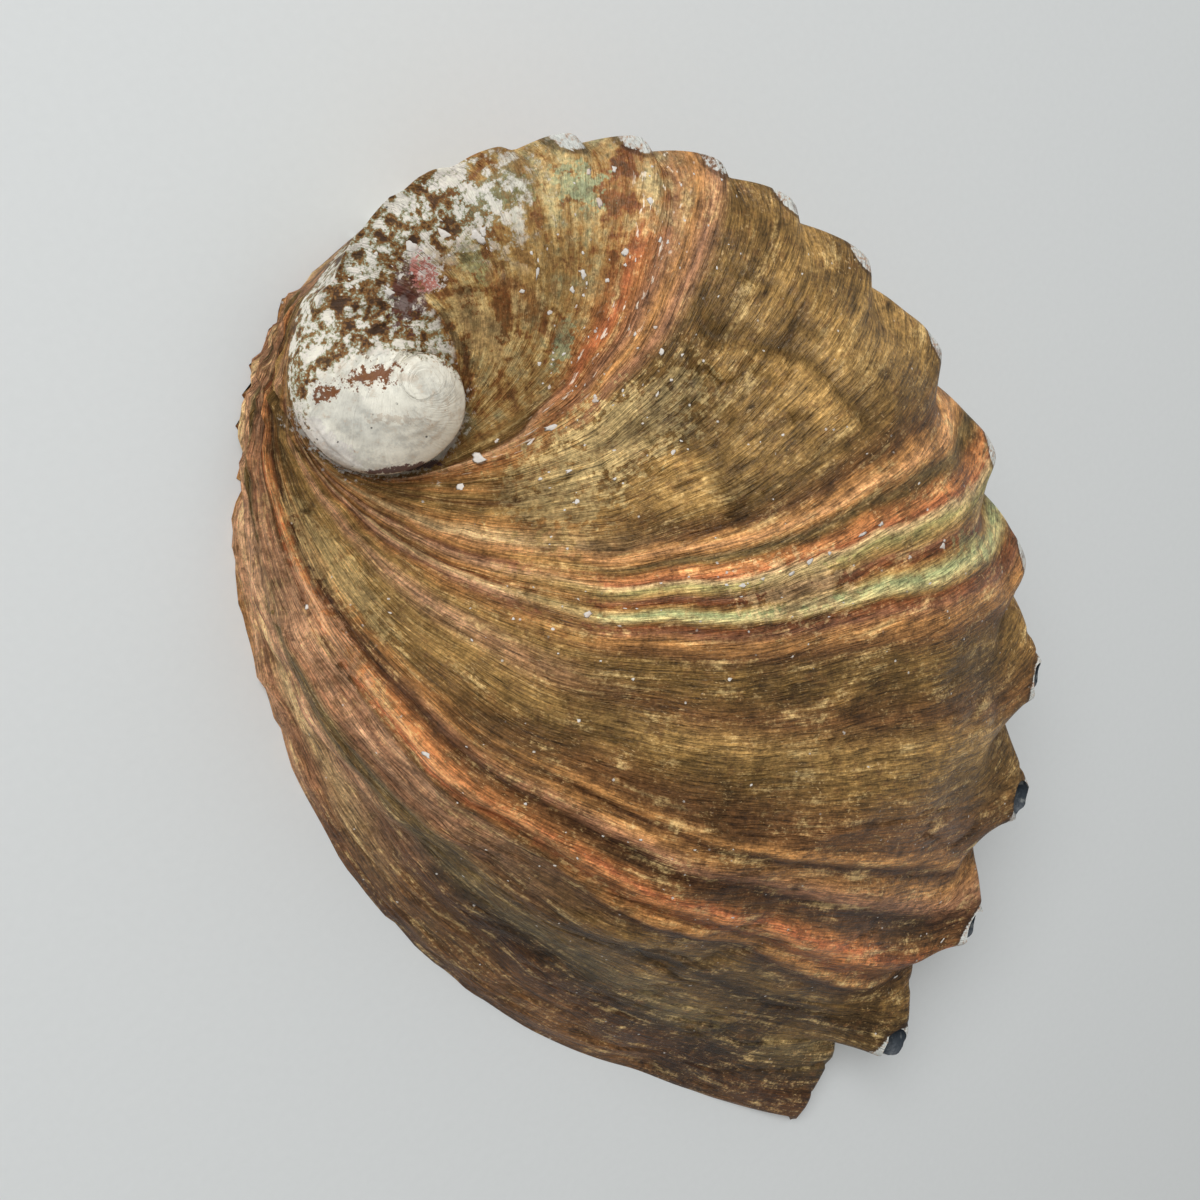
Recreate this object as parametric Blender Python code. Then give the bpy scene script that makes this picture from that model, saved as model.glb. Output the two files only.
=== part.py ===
"""An abalone shell, one grown piece, resting on its lip with its hollow underside open.

The shell is laid out the way it grew. A stage is how far the row of breathing holes has
turned about the tip of the spire, in degrees counted back from the newest hole, so 0 is
the present lip and older stages are negative. A growth line is the lip at one stage. It
runs from the hole row across the back of the shell and round to the seam, where the
newest turn of the spiral meets the turn before it. Below the hole row the side wall
drops to the base, and that wall carries the seam of the next turn.

Lengths are in millimetres until the mesh is made, and angles are in degrees.
"""

from dataclasses import dataclass
import math

import bpy
from mathutils import Matrix, Vector
import numpy as np

MM = 0.001

# How the lip stands to the spiral
NEWEST_HOLE_BEARING = 61.5
LIP_LEAD = 205.0
SEAM_LAG = 360.0 - LIP_LEAD
OLDEST_STAGE = -650.0
INNER_OLDEST_STAGE = -310.0

# Wall of the shell
SHELL_THICKNESS = 2.2
LIP_THICKNESS = 1.7
BASE_THICKNESS = 2.6
TURN_IN_THINNING = 0.6
SPIRE_TIP = 17.6
SPIRE_CEILING = 9.5
KNOB_FOLLOW = 0.75
SUTURE_DEPTH = 0.8
SUTURE_FULL_RADIUS = 7.0

# Turn that lays the shell's length along Y, spire end towards +Y
LENGTH_TURN = -24.0

# Spacing of the mesh
OUTER_STEP = 2.7
INNER_STEP = 5.0
OUTER_COLUMNS = 22
INNER_COLUMNS = 15
WALL_COLUMNS = 5
SPIRE_ROWS_PER_LAG = 14
TIP_COLUMNS = 3

# The pairs below are (stage, value) unless a comment says otherwise.
# Distance of the hole row from the spire's tip
HOLE_ROW_RADIUS = (
    (-720, 1.1), (-600, 2.3), (-511, 3.0), (-421, 5.0), (-376, 7.0), (-331, 9.0), (-286, 10.8),
    (-246, 11.7), (-220, 11.9), (-190, 13.4), (-169, 17.0), (-156, 19.8), (-143, 22.4),
    (-129, 26.0), (-105, 34.9), (-84, 46.0), (-61, 63.7), (-42, 83.3), (-24, 103.5),
    (-12, 113.5), (-5.5, 118.5), (0, 127.0),
)
# Height of the hole row over the base
HOLE_ROW_HEIGHT = (
    (-720, 17.5), (-600, 17.3), (-461, 16.0), (-361, 13.0), (-281, 11.2), (-220, 11.2),
    (-190, 12.6), (-168, 15.1), (-141, 19.7), (-116, 24.1), (-92, 27.2), (-71, 28.5), (-50, 27.4),
    (-31, 23.1), (-13, 12.3), (-4, 4.8), (0, 1.6),
)
# How far the side wall runs outwards on its way down
WALL_RUN = (
    (-720, 0.1), (-240, 0.5), (-200, 0.6), (-155, -2.5), (-120, 2.0), (-90, 4.0), (-60, 6.5),
    (-30, 7.0), (-12, 4.0), (0, 1.0),
)
# Height of the foot of the side wall, which is also the seam of the next turn
WALL_FOOT_HEIGHT = (
    (-720, 17.3), (-600, 16.8), (-511, 15.5), (-421, 13.2), (-361, 11.2), (-300, 9.8),
    (-238, 8.4), (-215, 7.6), (-190, 6.0), (-170, 3.2), (-155, 0.0),
)
# Rise of the back of the shell over the straight line from seam to hole row
BACK_RISE = (
    (-720, 0.0), (-300, 0.6), (-200, 1.2), (-150, 3.1), (-109, 5.6), (-85, 9.9), (-60, 15.5),
    (-30, 13.6), (0, 13.6),
)
# Sweep of a growth line: (degrees ahead of the hole row, share of the way out from the seam)
LINE_SWEEP = (
    (0, 1.0), (4, 0.991), (10, 0.939), (18, 0.864), (34, 0.752), (43, 0.683), (53, 0.616),
    (63, 0.529), (79, 0.4), (90, 0.305), (104, 0.203), (120, 0.117), (140, 0.053),
    (160, 0.018), (180, 0.008), (205, 0.0),
)
# What the present lip falls short of that sweep, because its left side is broken back
LIP_SHORTFALL = (
    (0, 0.0), (6, 0.032), (18, 0.013), (34, 0.045), (53, 0.11), (66, 0.124), (79, 0.128),
    (104, 0.08), (140, 0.023), (165, 0.005), (205, 0.0),
)
SHORTFALL_STAGES = 16.0

# Breathing holes: (stage of the knob's tip, height of the knob, open or grown shut)
HOLES = (
    (-8.0, 6.5, True), (-17.3, 5.2, True), (-26.5, 4.2, True), (-35.3, 3.6, True),
    (-44.8, 2.8, False), (-54.3, 3.5, False), (-65.0, 2.8, False),
    (-77.0, 2.2, False), (-88.0, 2.0, False), (-99.0, 1.8, False), (-111.0, 1.9, False),
    (-122.5, 1.9, False), (-135.0, 1.3, False), (-148.0, 0.9, False), (-161.0, 0.8, False),
    (-175.0, 0.7, False), (-193.0, 0.6, False),
)
# Shape of one knob: lengths before and behind its tip, and to either side of the row
KNOB_FRONT = 6.5
KNOB_BACK = 14.0
KNOB_UPHILL = 8.0
KNOB_DOWNHILL = 5.0
KNOB_FULL_RADIUS = 75.0
# Lean of a knob and of its hole, as shares outwards, upwards and forwards
KNOB_LEAN = (0.65, 0.7, 0.2)
HOLE_LEAN = (0.45, 0.72, 0.45)
HOLE_RADIUS = 1.9
HOLE_STRETCH = 1.25
HOLE_REACH_OUT = 6.0
HOLE_REACH_IN = 9.0

# Ledge on the inner side of the wall, just above its foot: (stage, width)
LEDGE_WIDTH = ((-150, 0.0), (-110, 6.0), (-50, 6.5), (-20, 2.5), (-6, 0.0), (0, 0.0))

SHELL_COLOUR = (0.24, 0.165, 0.075, 1.0)
SHELL_ROUGHNESS = 0.38
SHELL_METALLIC = 0.0


def smooth(x, knots):
    """Read a smooth curve through (x, y) knots that never swings past them."""
    table = np.array(sorted(knots), float)
    xs, ys = table[:, 0], table[:, 1]
    gap = np.diff(xs)
    rise = np.diff(ys) / gap
    slope = np.concatenate([rise[:1], np.zeros(len(xs) - 2), rise[-1:]])
    before, after = rise[:-1], rise[1:]
    level = before * after <= 0
    first, second = 2 * gap[1:] + gap[:-1], gap[1:] + 2 * gap[:-1]
    safe_before = np.where(level, 1.0, before)
    safe_after = np.where(level, 1.0, after)
    mean = (first + second) / (first / safe_before + second / safe_after)
    slope[1:-1] = np.where(level, 0.0, mean)
    x = np.clip(np.asarray(x, float), xs[0], xs[-1])
    i = np.clip(np.searchsorted(xs, x, side="right") - 1, 0, len(gap) - 1)
    t = (x - xs[i]) / gap[i]
    return (
        (2 * t**3 - 3 * t**2 + 1) * ys[i]
        + (t**3 - 2 * t**2 + t) * gap[i] * slope[i]
        + (3 * t**2 - 2 * t**3) * ys[i + 1]
        + (t**3 - t**2) * gap[i] * slope[i + 1]
    )


def ease(x):
    """Go from 0 to 1 with level ends while x goes from 0 to 1."""
    x = np.clip(x, 0.0, 1.0)
    return x * x * (3 - 2 * x)


def unit(vectors):
    """Scale vectors to length 1."""
    return vectors / np.maximum(np.linalg.norm(vectors, axis=-1, keepdims=True), 1e-9)


def hole_row_radius(stage):
    """Distance of the hole row from the spire's tip, smooth in its logarithm."""
    return np.exp(smooth(stage, [(s, math.log(r)) for s, r in HOLE_ROW_RADIUS]))


def place(radius, bearing, height):
    """Point at a radius and a clockwise bearing about the spire's tip."""
    angle = np.radians(bearing)
    return np.stack([radius * np.cos(angle), -radius * np.sin(angle), height], axis=-1)


def lead_at(column):
    """Degrees a growth line has run ahead of the hole row, even along the line."""
    lead = np.linspace(0.0, LIP_LEAD, 400)
    length = 0.6 * (1 - np.exp(-lead / 37.0)) + 0.4 * lead / LIP_LEAD
    return np.interp(column, 1 - length[::-1] / length[-1], lead[::-1])


def back_point(stage, column):
    """Point of a growth line, column 0 at the seam and 1 at the hole row."""
    lead = lead_at(column)
    short = ease(1 + stage / SHORTFALL_STAGES) * smooth(lead, LIP_SHORTFALL)
    out = np.clip(smooth(lead, LINE_SWEEP) - short, 0.0, 1.0)
    seam_stage = stage + lead - 360.0
    seam_radius = hole_row_radius(seam_stage) + smooth(seam_stage, WALL_RUN)
    radius = np.exp((1 - out) * np.log(seam_radius) + out * np.log(hole_row_radius(stage)))
    # The lip rises from the base over a shorter way on the back than at the hole row
    rise_stages = 28.0 + 22.0 * np.clip((out - 0.8) / 0.2, 0.0, 1.0)
    risen = 1 - np.clip(1 + stage / rise_stages, 0.0, 1.0) ** 1.9
    row_height = smooth(stage, HOLE_ROW_HEIGHT)
    full_height = np.where(stage > -65, 28.3, row_height)
    slope = out**1.8
    swell = out**3 * (1 - out) ** 0.7 / 0.1662
    # Old growth lines keep to the seam's own height as they run along it, young ones come down to the base
    old = ease((-stage - 60.0) / 95.0)
    line_foot = smooth(stage - SEAM_LAG, WALL_FOOT_HEIGHT)
    foot = old * smooth(seam_stage, WALL_FOOT_HEIGHT) + (1 - old) * line_foot
    height = foot * (1 - slope)
    height = height + risen * (full_height * slope + smooth(stage, BACK_RISE) * swell)
    near_row = np.clip((out - 0.9) / 0.1, 0.0, 1.0) ** 2
    height = height + (row_height - risen * full_height) * near_row
    return place(radius, NEWEST_HOLE_BEARING + stage + lead, height)


def wall_point(stage, down):
    """Point of the side wall, down 0 at the hole row and 1 at its foot."""
    radius = hole_row_radius(stage) + smooth(stage, WALL_RUN) * (1 - (1 - down) ** 1.8)
    top = smooth(stage, HOLE_ROW_HEIGHT)
    foot = smooth(stage, WALL_FOOT_HEIGHT)
    height = top - (top - foot) * (0.5 * down + 0.5 * down**2)
    return place(radius, NEWEST_HOLE_BEARING + stage + 0 * down, height)


def smooth_outside(stage, column):
    """Outside without knobs, column 0 at the seam, 1 at the hole row, 2 at the wall's foot."""
    stage, column = np.broadcast_arrays(np.asarray(stage, float), np.asarray(column, float))
    back = back_point(stage, np.clip(column, 0.0, 1.0))
    wall = wall_point(stage, np.clip(column - 1.0, 0.0, 1.0))
    return np.where((column > 1.0)[..., None], wall, back)


def row_directions(stage):
    """Outwards, upwards and forwards along the hole row at a stage."""
    bearing = math.radians(NEWEST_HOLE_BEARING + stage)
    out = np.array([math.cos(bearing), -math.sin(bearing), 0.0])
    ahead = smooth_outside(stage + 1.0, 1.0) - smooth_outside(stage - 1.0, 1.0)
    return out, np.array([0.0, 0.0, 1.0]), unit(ahead)


def lean(stage, shares):
    """Direction made of shares outwards, upwards and forwards."""
    parts = row_directions(stage)
    return unit(sum(share * part for share, part in zip(shares, parts)))


def knobs(stage, column):
    """Displacement of the outside by the knobs round the breathing holes."""
    stage, column = np.broadcast_arrays(np.asarray(stage, float), np.asarray(column, float))
    point = smooth_outside(stage, column)
    row = smooth_outside(stage, np.ones_like(stage))
    across = np.linalg.norm(point - row, axis=-1)
    total = np.zeros_like(point)
    for tip, height, _ in HOLES:
        centre = smooth_outside(tip, 1.0)
        size = min(1.0, float(hole_row_radius(tip)) / KNOB_FULL_RADIUS) ** 0.6
        along = np.linalg.norm(row - centre, axis=-1) / size
        behind = ease(1 - along / KNOB_BACK)
        before = ease(1 - along / KNOB_FRONT)
        profile = np.where(stage > tip, before, behind)
        profile = np.where(np.abs(stage - tip) < 40.0, profile, 0.0)
        spread = np.where(column > 1.0, KNOB_DOWNHILL, KNOB_UPHILL) * size
        amount = height * profile * np.exp(-((across / spread) ** 2))
        total = total + amount[..., None] * lean(tip, KNOB_LEAN)
    return total


def suture(stage, column):
    """Displacement of the outside by the groove that runs along the seam round the spire."""
    old = ease((-stage - 60.0) / 95.0)
    share = old * ease(column / 0.06) * ease((0.45 - column) / 0.3)
    size = np.clip(np.linalg.norm(smooth_outside(stage, column)[..., :2], axis=-1) / SUTURE_FULL_RADIUS, 0.0, 1.0)
    return -(SUTURE_DEPTH * share * size)[..., None] * [0.0, 0.0, 1.0]


def outside(stage, column):
    """Outer surface of the shell."""
    return smooth_outside(stage, column) + knobs(stage, column) + suture(stage, column)


def outside_normal(stage, column):
    """Direction square to the smooth outside, pointing out of the shell."""
    step, side = 2.5, 0.06
    ahead = smooth_outside(np.minimum(stage + step, 0.0), column)
    behind = smooth_outside(stage - step, column)
    outer = smooth_outside(stage, np.minimum(column + side, 2.0))
    inner = smooth_outside(stage, np.maximum(column - side, 0.0))
    return unit(np.cross(ahead - behind, outer - inner))


def inside(stage, column):
    """Inner surface of the shell, a wall's thickness in from the outer one."""
    stage, column = np.broadcast_arrays(np.asarray(stage, float), np.asarray(column, float))
    outer = smooth_outside(stage, column)
    radius = np.linalg.norm(outer[..., :2], axis=-1)
    away = outer * [1.0, 1.0, 0.0] / np.maximum(radius, 1e-6)[..., None]
    normal = outside_normal(stage, column)

    # Close to the seam the growth lines run along it: the surface is a cliff left of the spire and level right of it
    at_seam = 1 - ease(column / 0.25)
    cliff = ease((stage + lead_at(column) - 360.0 + 270.0) / 80.0)[..., None]
    seam_normal = unit(away * cliff + (1 - cliff) * [0.0, 0.0, 1.0])
    normal = unit(normal * (1 - at_seam[..., None]) + seam_normal * at_seam[..., None])

    # Close to the hole row the inner surface keeps back from both the row and the wall below it
    near_row = np.where(column > 1.0, 2.0 - column, ease((column - 0.45) / 0.5))
    ahead = smooth_outside(stage + 1.0, 1.0) - smooth_outside(stage - 1.0, 1.0)
    off_row = unit(np.stack([-ahead[..., 1], ahead[..., 0], 0 * stage], axis=-1))
    level = np.linalg.norm(normal[..., :2], axis=-1)
    flat = normal * [1.0, 1.0, 0.0] / np.maximum(level, 1e-6)[..., None]
    by_row = np.where(column > 1.0, 1.0, near_row)[..., None]
    outwards = unit(flat * (1 - by_row) + off_row * by_row)
    level = np.where(column > 1.0, 1.0 - 0.2 * near_row, level * (1 - near_row) + 0.8 * near_row)
    fall = np.maximum(normal[..., 2], 0.9 * near_row)

    # At the lip and along the foot of the wall the thickness lies level, which leaves a rim to rest on
    rim_lip = 1 - ease(-stage / 4.0)
    rim_foot = np.where(stage > -SEAM_LAG, ease((column - 1.6) / 0.4), 0.0)
    rim = np.maximum(rim_lip, rim_foot)
    thick = LIP_THICKNESS + (SHELL_THICKNESS - LIP_THICKNESS) * ease(-stage / 12.0)
    thick = thick + (BASE_THICKNESS - thick) * rim_foot * (1 - rim_lip)
    # The shell is thinner where the lip turns in beside the spire
    turn_in = ease(1 + stage / 40.0) * ease((0.55 - column) / 0.2)
    thick = thick * (1 - TURN_IN_THINNING * turn_in)
    ledge = smooth(stage, LEDGE_WIDTH) * ease((column - 1.3) / 0.5) * ease((2.0 - column) / 0.2)
    inwards = thick * (level * (1 - rim) + rim) * radius / (radius + SHELL_THICKNESS) + ledge
    lowered = np.minimum(thick * fall * (1 - rim), 0.75 * outer[..., 2])
    moved = outer - outwards * inwards[..., None] - lowered[..., None] * [0.0, 0.0, 1.0]

    # In the small turns of the spire the inner surface is the outer one drawn in towards the axis and lowered
    drawn_in = outer * (radius / (radius + SHELL_THICKNESS))[..., None]
    drawn_in[..., 2] = outer[..., 2] - np.minimum(SHELL_THICKNESS, 0.75 * outer[..., 2])
    spire = ease((-stage - 165.0) / 40.0)[..., None]
    moved = moved * (1 - spire) + drawn_in * spire
    # In the corner where the lip meets the wall the rim also keeps back from the lip
    corner = rim_lip * ease((column - 0.8) / 0.2)
    back = unit(smooth_outside(0.0, 1.0) - smooth_outside(-2.0, 1.0)) * [1.0, 1.0, 0.0]
    moved = moved - back * (LIP_THICKNESS * corner)[..., None]
    return moved + KNOB_FOLLOW * (1 - rim[..., None]) * knobs(stage, column)


def body_stages(step):
    """Stages of the newest turn, spaced along the hole row with one at each knob's tip."""
    marks = [0.0] + [tip for tip, _, _ in HOLES if tip > -SEAM_LAG] + [-SEAM_LAG]
    stages = [0.0]
    for newer, older in zip(marks, marks[1:]):
        gap = np.linalg.norm(smooth_outside(newer, 1.0) - smooth_outside(older, 1.0))
        pieces = max(1, math.ceil(float(gap) / step))
        stages += [newer + (older - newer) * k / pieces for k in range(1, pieces + 1)]
    return np.array(stages)


def columns_across(count):
    """Columns from the seam to the wall's foot, closest at the hole row."""
    back = [1 - (1 - k / count) ** 1.2 for k in range(count + 1)]
    wall = [1 + (k / WALL_COLUMNS) ** 1.15 for k in range(1, WALL_COLUMNS + 1)]
    return np.array(back + wall)


def stitch(first, first_at, second, second_at):
    """Triangles between two chains of vertices, matched by how far along each vertex lies."""
    faces, i, j = [], 0, 0
    while i < len(first) - 1 or j < len(second) - 1:
        last_i, last_j = i == len(first) - 1, j == len(second) - 1
        if last_j or (not last_i and first_at[i + 1] <= second_at[j + 1]):
            faces.append((first[i], first[i + 1], second[j]))
            i += 1
        else:
            faces.append((first[i], second[j + 1], second[j]))
            j += 1
    return [face for face in faces if len(set(face)) == 3]


def turned_over(faces):
    """The same faces seen from their other side."""
    return [tuple(reversed(face)) for face in faces]


@dataclass
class Sheet:
    """One skin of the shell: its points, its faces and the two chains of its edge."""

    points: list
    faces: list
    lip: list
    foot: list
    lip_at: list
    foot_at: list


def make_sheet(surface, step, column_count, oldest, tip_height):
    """Cover the spiral with one closed-up skin whose only edge is the lip and the wall's foot."""
    stages = body_stages(step)
    columns = columns_across(column_count)
    last = len(columns) - 1
    points, faces = [], []

    def add(new_points):
        start = len(points)
        points.extend(np.asarray(new_points).reshape(-1, 3).tolist())
        return list(range(start, len(points)))

    body = [add(surface(stage, columns)) for stage in stages]
    points[body[-1][last]] = points[body[0][0]]
    body[-1][last] = body[0][0]
    for newer, older in zip(body, body[1:]):
        for j in range(last):
            faces.append((newer[j], newer[j + 1], older[j + 1], older[j]))

    # The older turns are drawn with wider spacing
    spire_columns = np.concatenate([np.linspace(0, 1, 9), [1.45, 2.0]])
    foot_column = len(spire_columns) - 1
    spacing = SEAM_LAG / SPIRE_ROWS_PER_LAG
    row_count = round((-SEAM_LAG - oldest) / spacing)
    tip = add([0.0, 0.0, tip_height])[0]
    spire = {}
    for m in range(1, row_count + 1):
        row = surface(-SEAM_LAG - m * spacing, spire_columns[:-1])
        at_tip = TIP_COLUMNS if m > row_count - SPIRE_ROWS_PER_LAG else 0
        spire[m] = [tip] * at_tip + add(row[at_tip:])
    for m in range(SPIRE_ROWS_PER_LAG, row_count + 1):
        foot = body[-1][0] if m == SPIRE_ROWS_PER_LAG else spire[m - SPIRE_ROWS_PER_LAG][0]
        spire[m].append(foot)
    for m in range(1, row_count):
        width = foot_column if m >= SPIRE_ROWS_PER_LAG else foot_column - 1
        for j in range(width):
            face = (spire[m][j], spire[m][j + 1], spire[m + 1][j + 1], spire[m + 1][j])
            faces.append(tuple(dict.fromkeys(face)))
    faces.append(tuple(dict.fromkeys(spire[row_count])))

    # Joins between the newest turn and the older ones
    faces += stitch(body[-1][:last], columns[:last], spire[1][:foot_column], spire_columns[:foot_column])
    inner_chain = [body[-1][last - 1]] + [spire[m][foot_column - 1] for m in range(1, SPIRE_ROWS_PER_LAG + 1)]
    inner_at = np.linspace(0.0, 1.0, len(inner_chain))
    seam_chain = [row[0] for row in body]
    faces += turned_over(stitch(inner_chain, inner_at, seam_chain, -stages / SEAM_LAG))

    faces = [face for face in faces if len(face) > 2]
    return Sheet(points, faces, body[0], [row[last] for row in body], list(columns), list(-stages / SEAM_LAG))


def join_sheets(outer, inner):
    """Close the shell: the outer skin, the inner skin turned over, and the rim between them."""
    shift = len(outer.points)
    points = outer.points + inner.points
    faces = list(outer.faces)
    faces += turned_over([tuple(index + shift for index in face) for face in inner.faces])
    lip = [index + shift for index in inner.lip]
    foot = [index + shift for index in inner.foot]
    faces += turned_over(stitch(outer.lip, outer.lip_at, lip, inner.lip_at))
    faces += turned_over(stitch(outer.foot, outer.foot_at, foot, inner.foot_at))
    return points, faces


def level_rim(points, sheet, shift):
    """Lay the rim flat on the base."""
    for index in sheet.lip + sheet.foot:
        points[index + shift][2] = 0.0


def to_frame(points):
    """Turn the shell's length along Y and centre it over the origin, standing on the base."""
    turn = Matrix.Rotation(math.radians(LENGTH_TURN), 3, "Z")
    turned = np.array(points) @ np.array(turn).T
    low, high = turned.min(axis=0), turned.max(axis=0)
    offset = np.array([-(low[0] + high[0]) / 2, -(low[1] + high[1]) / 2, -low[2]])
    return turned + offset, turn, offset


def shell_material():
    """Olive-brown horn colour with a soft gloss."""
    material = bpy.data.materials.new("shell")
    material.use_nodes = True
    shader = material.node_tree.nodes["Principled BSDF"]
    shader.inputs["Base Color"].default_value = SHELL_COLOUR
    shader.inputs["Roughness"].default_value = SHELL_ROUGHNESS
    shader.inputs["Metallic"].default_value = SHELL_METALLIC
    material.diffuse_color = SHELL_COLOUR
    return material


def hole_cutter(number, stage, knob_height, turn, offset):
    """Oval rod that opens one breathing hole."""
    axis = lean(stage, HOLE_LEAN)
    tip = smooth_outside(stage, 1.0) + knob_height * lean(stage, KNOB_LEAN)
    centre = tip + axis * (HOLE_REACH_OUT - HOLE_REACH_IN) / 2
    bpy.ops.mesh.primitive_cylinder_add(
        vertices=12, radius=HOLE_RADIUS * MM, depth=(HOLE_REACH_OUT + HOLE_REACH_IN) * MM
    )
    cutter = bpy.context.object
    cutter.name = f"hole_cutter_{number}"
    forwards = row_directions(stage)[2]
    side = unit(np.cross(axis, forwards))
    along = np.cross(side, axis)
    basis = Matrix([Vector(along), Vector(side), Vector(axis)]).transposed()
    place_at = np.array(turn) @ centre + offset
    cutter.matrix_world = (
        Matrix.Translation(Vector(place_at * MM))
        @ (turn @ basis).to_4x4()
        @ Matrix.Diagonal((HOLE_STRETCH, 1.0, 1.0, 1.0))
    )
    cutter.hide_render = True
    cutter.display_type = "WIRE"
    return cutter


def build_shell():
    """Make the shell's solid and open its breathing holes."""
    outer = make_sheet(outside, OUTER_STEP, OUTER_COLUMNS, OLDEST_STAGE, SPIRE_TIP)
    inner = make_sheet(inside, INNER_STEP, INNER_COLUMNS, INNER_OLDEST_STAGE, SPIRE_CEILING)
    points, faces = join_sheets(outer, inner)
    level_rim(points, outer, 0)
    level_rim(points, inner, len(outer.points))
    placed, turn, offset = to_frame(points)

    mesh = bpy.data.meshes.new("shell")
    mesh.from_pydata((placed * MM).tolist(), [], faces)
    mesh.update()
    shell = bpy.data.objects.new("shell", mesh)
    bpy.context.collection.objects.link(shell)
    mesh.materials.append(shell_material())
    mesh.shade_smooth()
    mesh.set_sharp_from_angle(angle=math.radians(50))

    number = 0
    for stage, knob_height, is_open in HOLES:
        if not is_open:
            continue
        number += 1
        cut = shell.modifiers.new(f"hole_{number}", "BOOLEAN")
        cut.operation = "DIFFERENCE"
        cut.solver = "EXACT"
        cut.object = hole_cutter(number, stage, knob_height, turn, offset)
    return shell


def main():
    """Clear the scene and build the shell."""
    for old in list(bpy.data.objects):
        bpy.data.objects.remove(old, do_unlink=True)
    build_shell()


if __name__ == "__main__":
    main()
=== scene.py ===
"""Looks of an abalone shell: its grown surface, its colours, its nacre lining and its lime chips.

The shell is drawn in the coordinates that it grew in. A stage is how far the row of breathing
holes has turned about the spire's tip, in degrees counted back from the newest hole. The lead is
how many degrees a growth line has run ahead of the hole row. A column is 0 at the seam, 1 at the
hole row and 2 at the foot of the side wall. Lengths are in millimetres until a mesh is made.
"""

from __future__ import annotations

import logging
import math
from dataclasses import dataclass, field
from enum import Enum
from functools import cached_property
from typing import Callable, Sequence, Union

import bpy
import numpy as np
from mathutils import Matrix, Vector


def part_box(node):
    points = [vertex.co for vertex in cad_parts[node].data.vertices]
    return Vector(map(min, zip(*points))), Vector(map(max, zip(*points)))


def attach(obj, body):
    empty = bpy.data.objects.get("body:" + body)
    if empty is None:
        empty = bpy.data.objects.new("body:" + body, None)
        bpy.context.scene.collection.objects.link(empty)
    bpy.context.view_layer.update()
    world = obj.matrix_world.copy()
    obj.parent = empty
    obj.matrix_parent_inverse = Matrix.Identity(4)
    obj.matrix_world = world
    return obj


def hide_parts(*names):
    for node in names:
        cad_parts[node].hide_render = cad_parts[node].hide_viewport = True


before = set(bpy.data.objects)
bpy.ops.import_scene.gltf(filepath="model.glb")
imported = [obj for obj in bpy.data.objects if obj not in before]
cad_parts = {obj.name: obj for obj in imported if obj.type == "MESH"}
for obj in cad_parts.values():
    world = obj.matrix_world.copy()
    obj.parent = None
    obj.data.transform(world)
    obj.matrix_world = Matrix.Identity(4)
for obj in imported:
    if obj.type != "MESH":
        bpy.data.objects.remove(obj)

MM = 0.001
NODE = "shell"
BODY = "root"
MAP_SCALE = 100.0
LOG = logging.getLogger("abalone")

Knots = Sequence[tuple[float, float]]
Array = np.ndarray
Colour = tuple[float, float, float]
Shares = tuple[float, float, float]
Loop = tuple[int, ...]

UP = np.array([0.0, 0.0, 1.0])
LEVEL = np.array([1.0, 1.0, 0.0])

# Large odd numbers that scramble the place of a grid's corner, and the bits that are kept of them
SCRAMBLE = (374761393, 668265263, 974634777, 1274126177)
KEPT_BITS = 0x7FFFFFFF
LAST_BITS = 0xFFFF


# Plain maths


def smooth(x: Array | float, knots: Knots) -> Array:
    """Read a smooth curve through knots that never swings past them.

    Args:
        x: where to read the curve.
        knots: (x, y) pairs.

    Returns:
        The curve's value at each x.
    """
    table = np.array(sorted(knots), float)
    xs, ys = table[:, 0], table[:, 1]
    gap = np.diff(xs)
    rise = np.diff(ys) / gap
    slope = np.concatenate([rise[:1], np.zeros(len(xs) - 2), rise[-1:]])
    before, after = rise[:-1], rise[1:]
    level = before * after <= 0
    first, second = 2 * gap[1:] + gap[:-1], gap[1:] + 2 * gap[:-1]
    mean = (first + second) / (first / np.where(level, 1.0, before) + second / np.where(level, 1.0, after))
    slope[1:-1] = np.where(level, 0.0, mean)
    x = np.clip(np.asarray(x, float), xs[0], xs[-1])
    i = np.clip(np.searchsorted(xs, x, side="right") - 1, 0, len(gap) - 1)
    t = (x - xs[i]) / gap[i]
    return (
        (2 * t**3 - 3 * t**2 + 1) * ys[i]
        + (t**3 - 2 * t**2 + t) * gap[i] * slope[i]
        + (3 * t**2 - 2 * t**3) * ys[i + 1]
        + (t**3 - t**2) * gap[i] * slope[i + 1]
    )


def ease(x: Array | float) -> Array:
    """Go from 0 to 1 with level ends while x goes from 0 to 1."""
    x = np.clip(x, 0.0, 1.0)
    return x * x * (3 - 2 * x)


def unit(vectors: Array) -> Array:
    """Scale vectors to length 1."""
    return vectors / np.maximum(np.linalg.norm(vectors, axis=-1, keepdims=True), 1e-9)


def together(*values: Array | float) -> list[Array]:
    """Numbers and arrays as arrays of one shape."""
    return np.broadcast_arrays(*(np.asarray(value, float) for value in values))


def bell(x: Array) -> Array:
    """A smooth bump of height 1 and half width about 1 round x = 0."""
    return np.exp(-(x**2))


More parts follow.
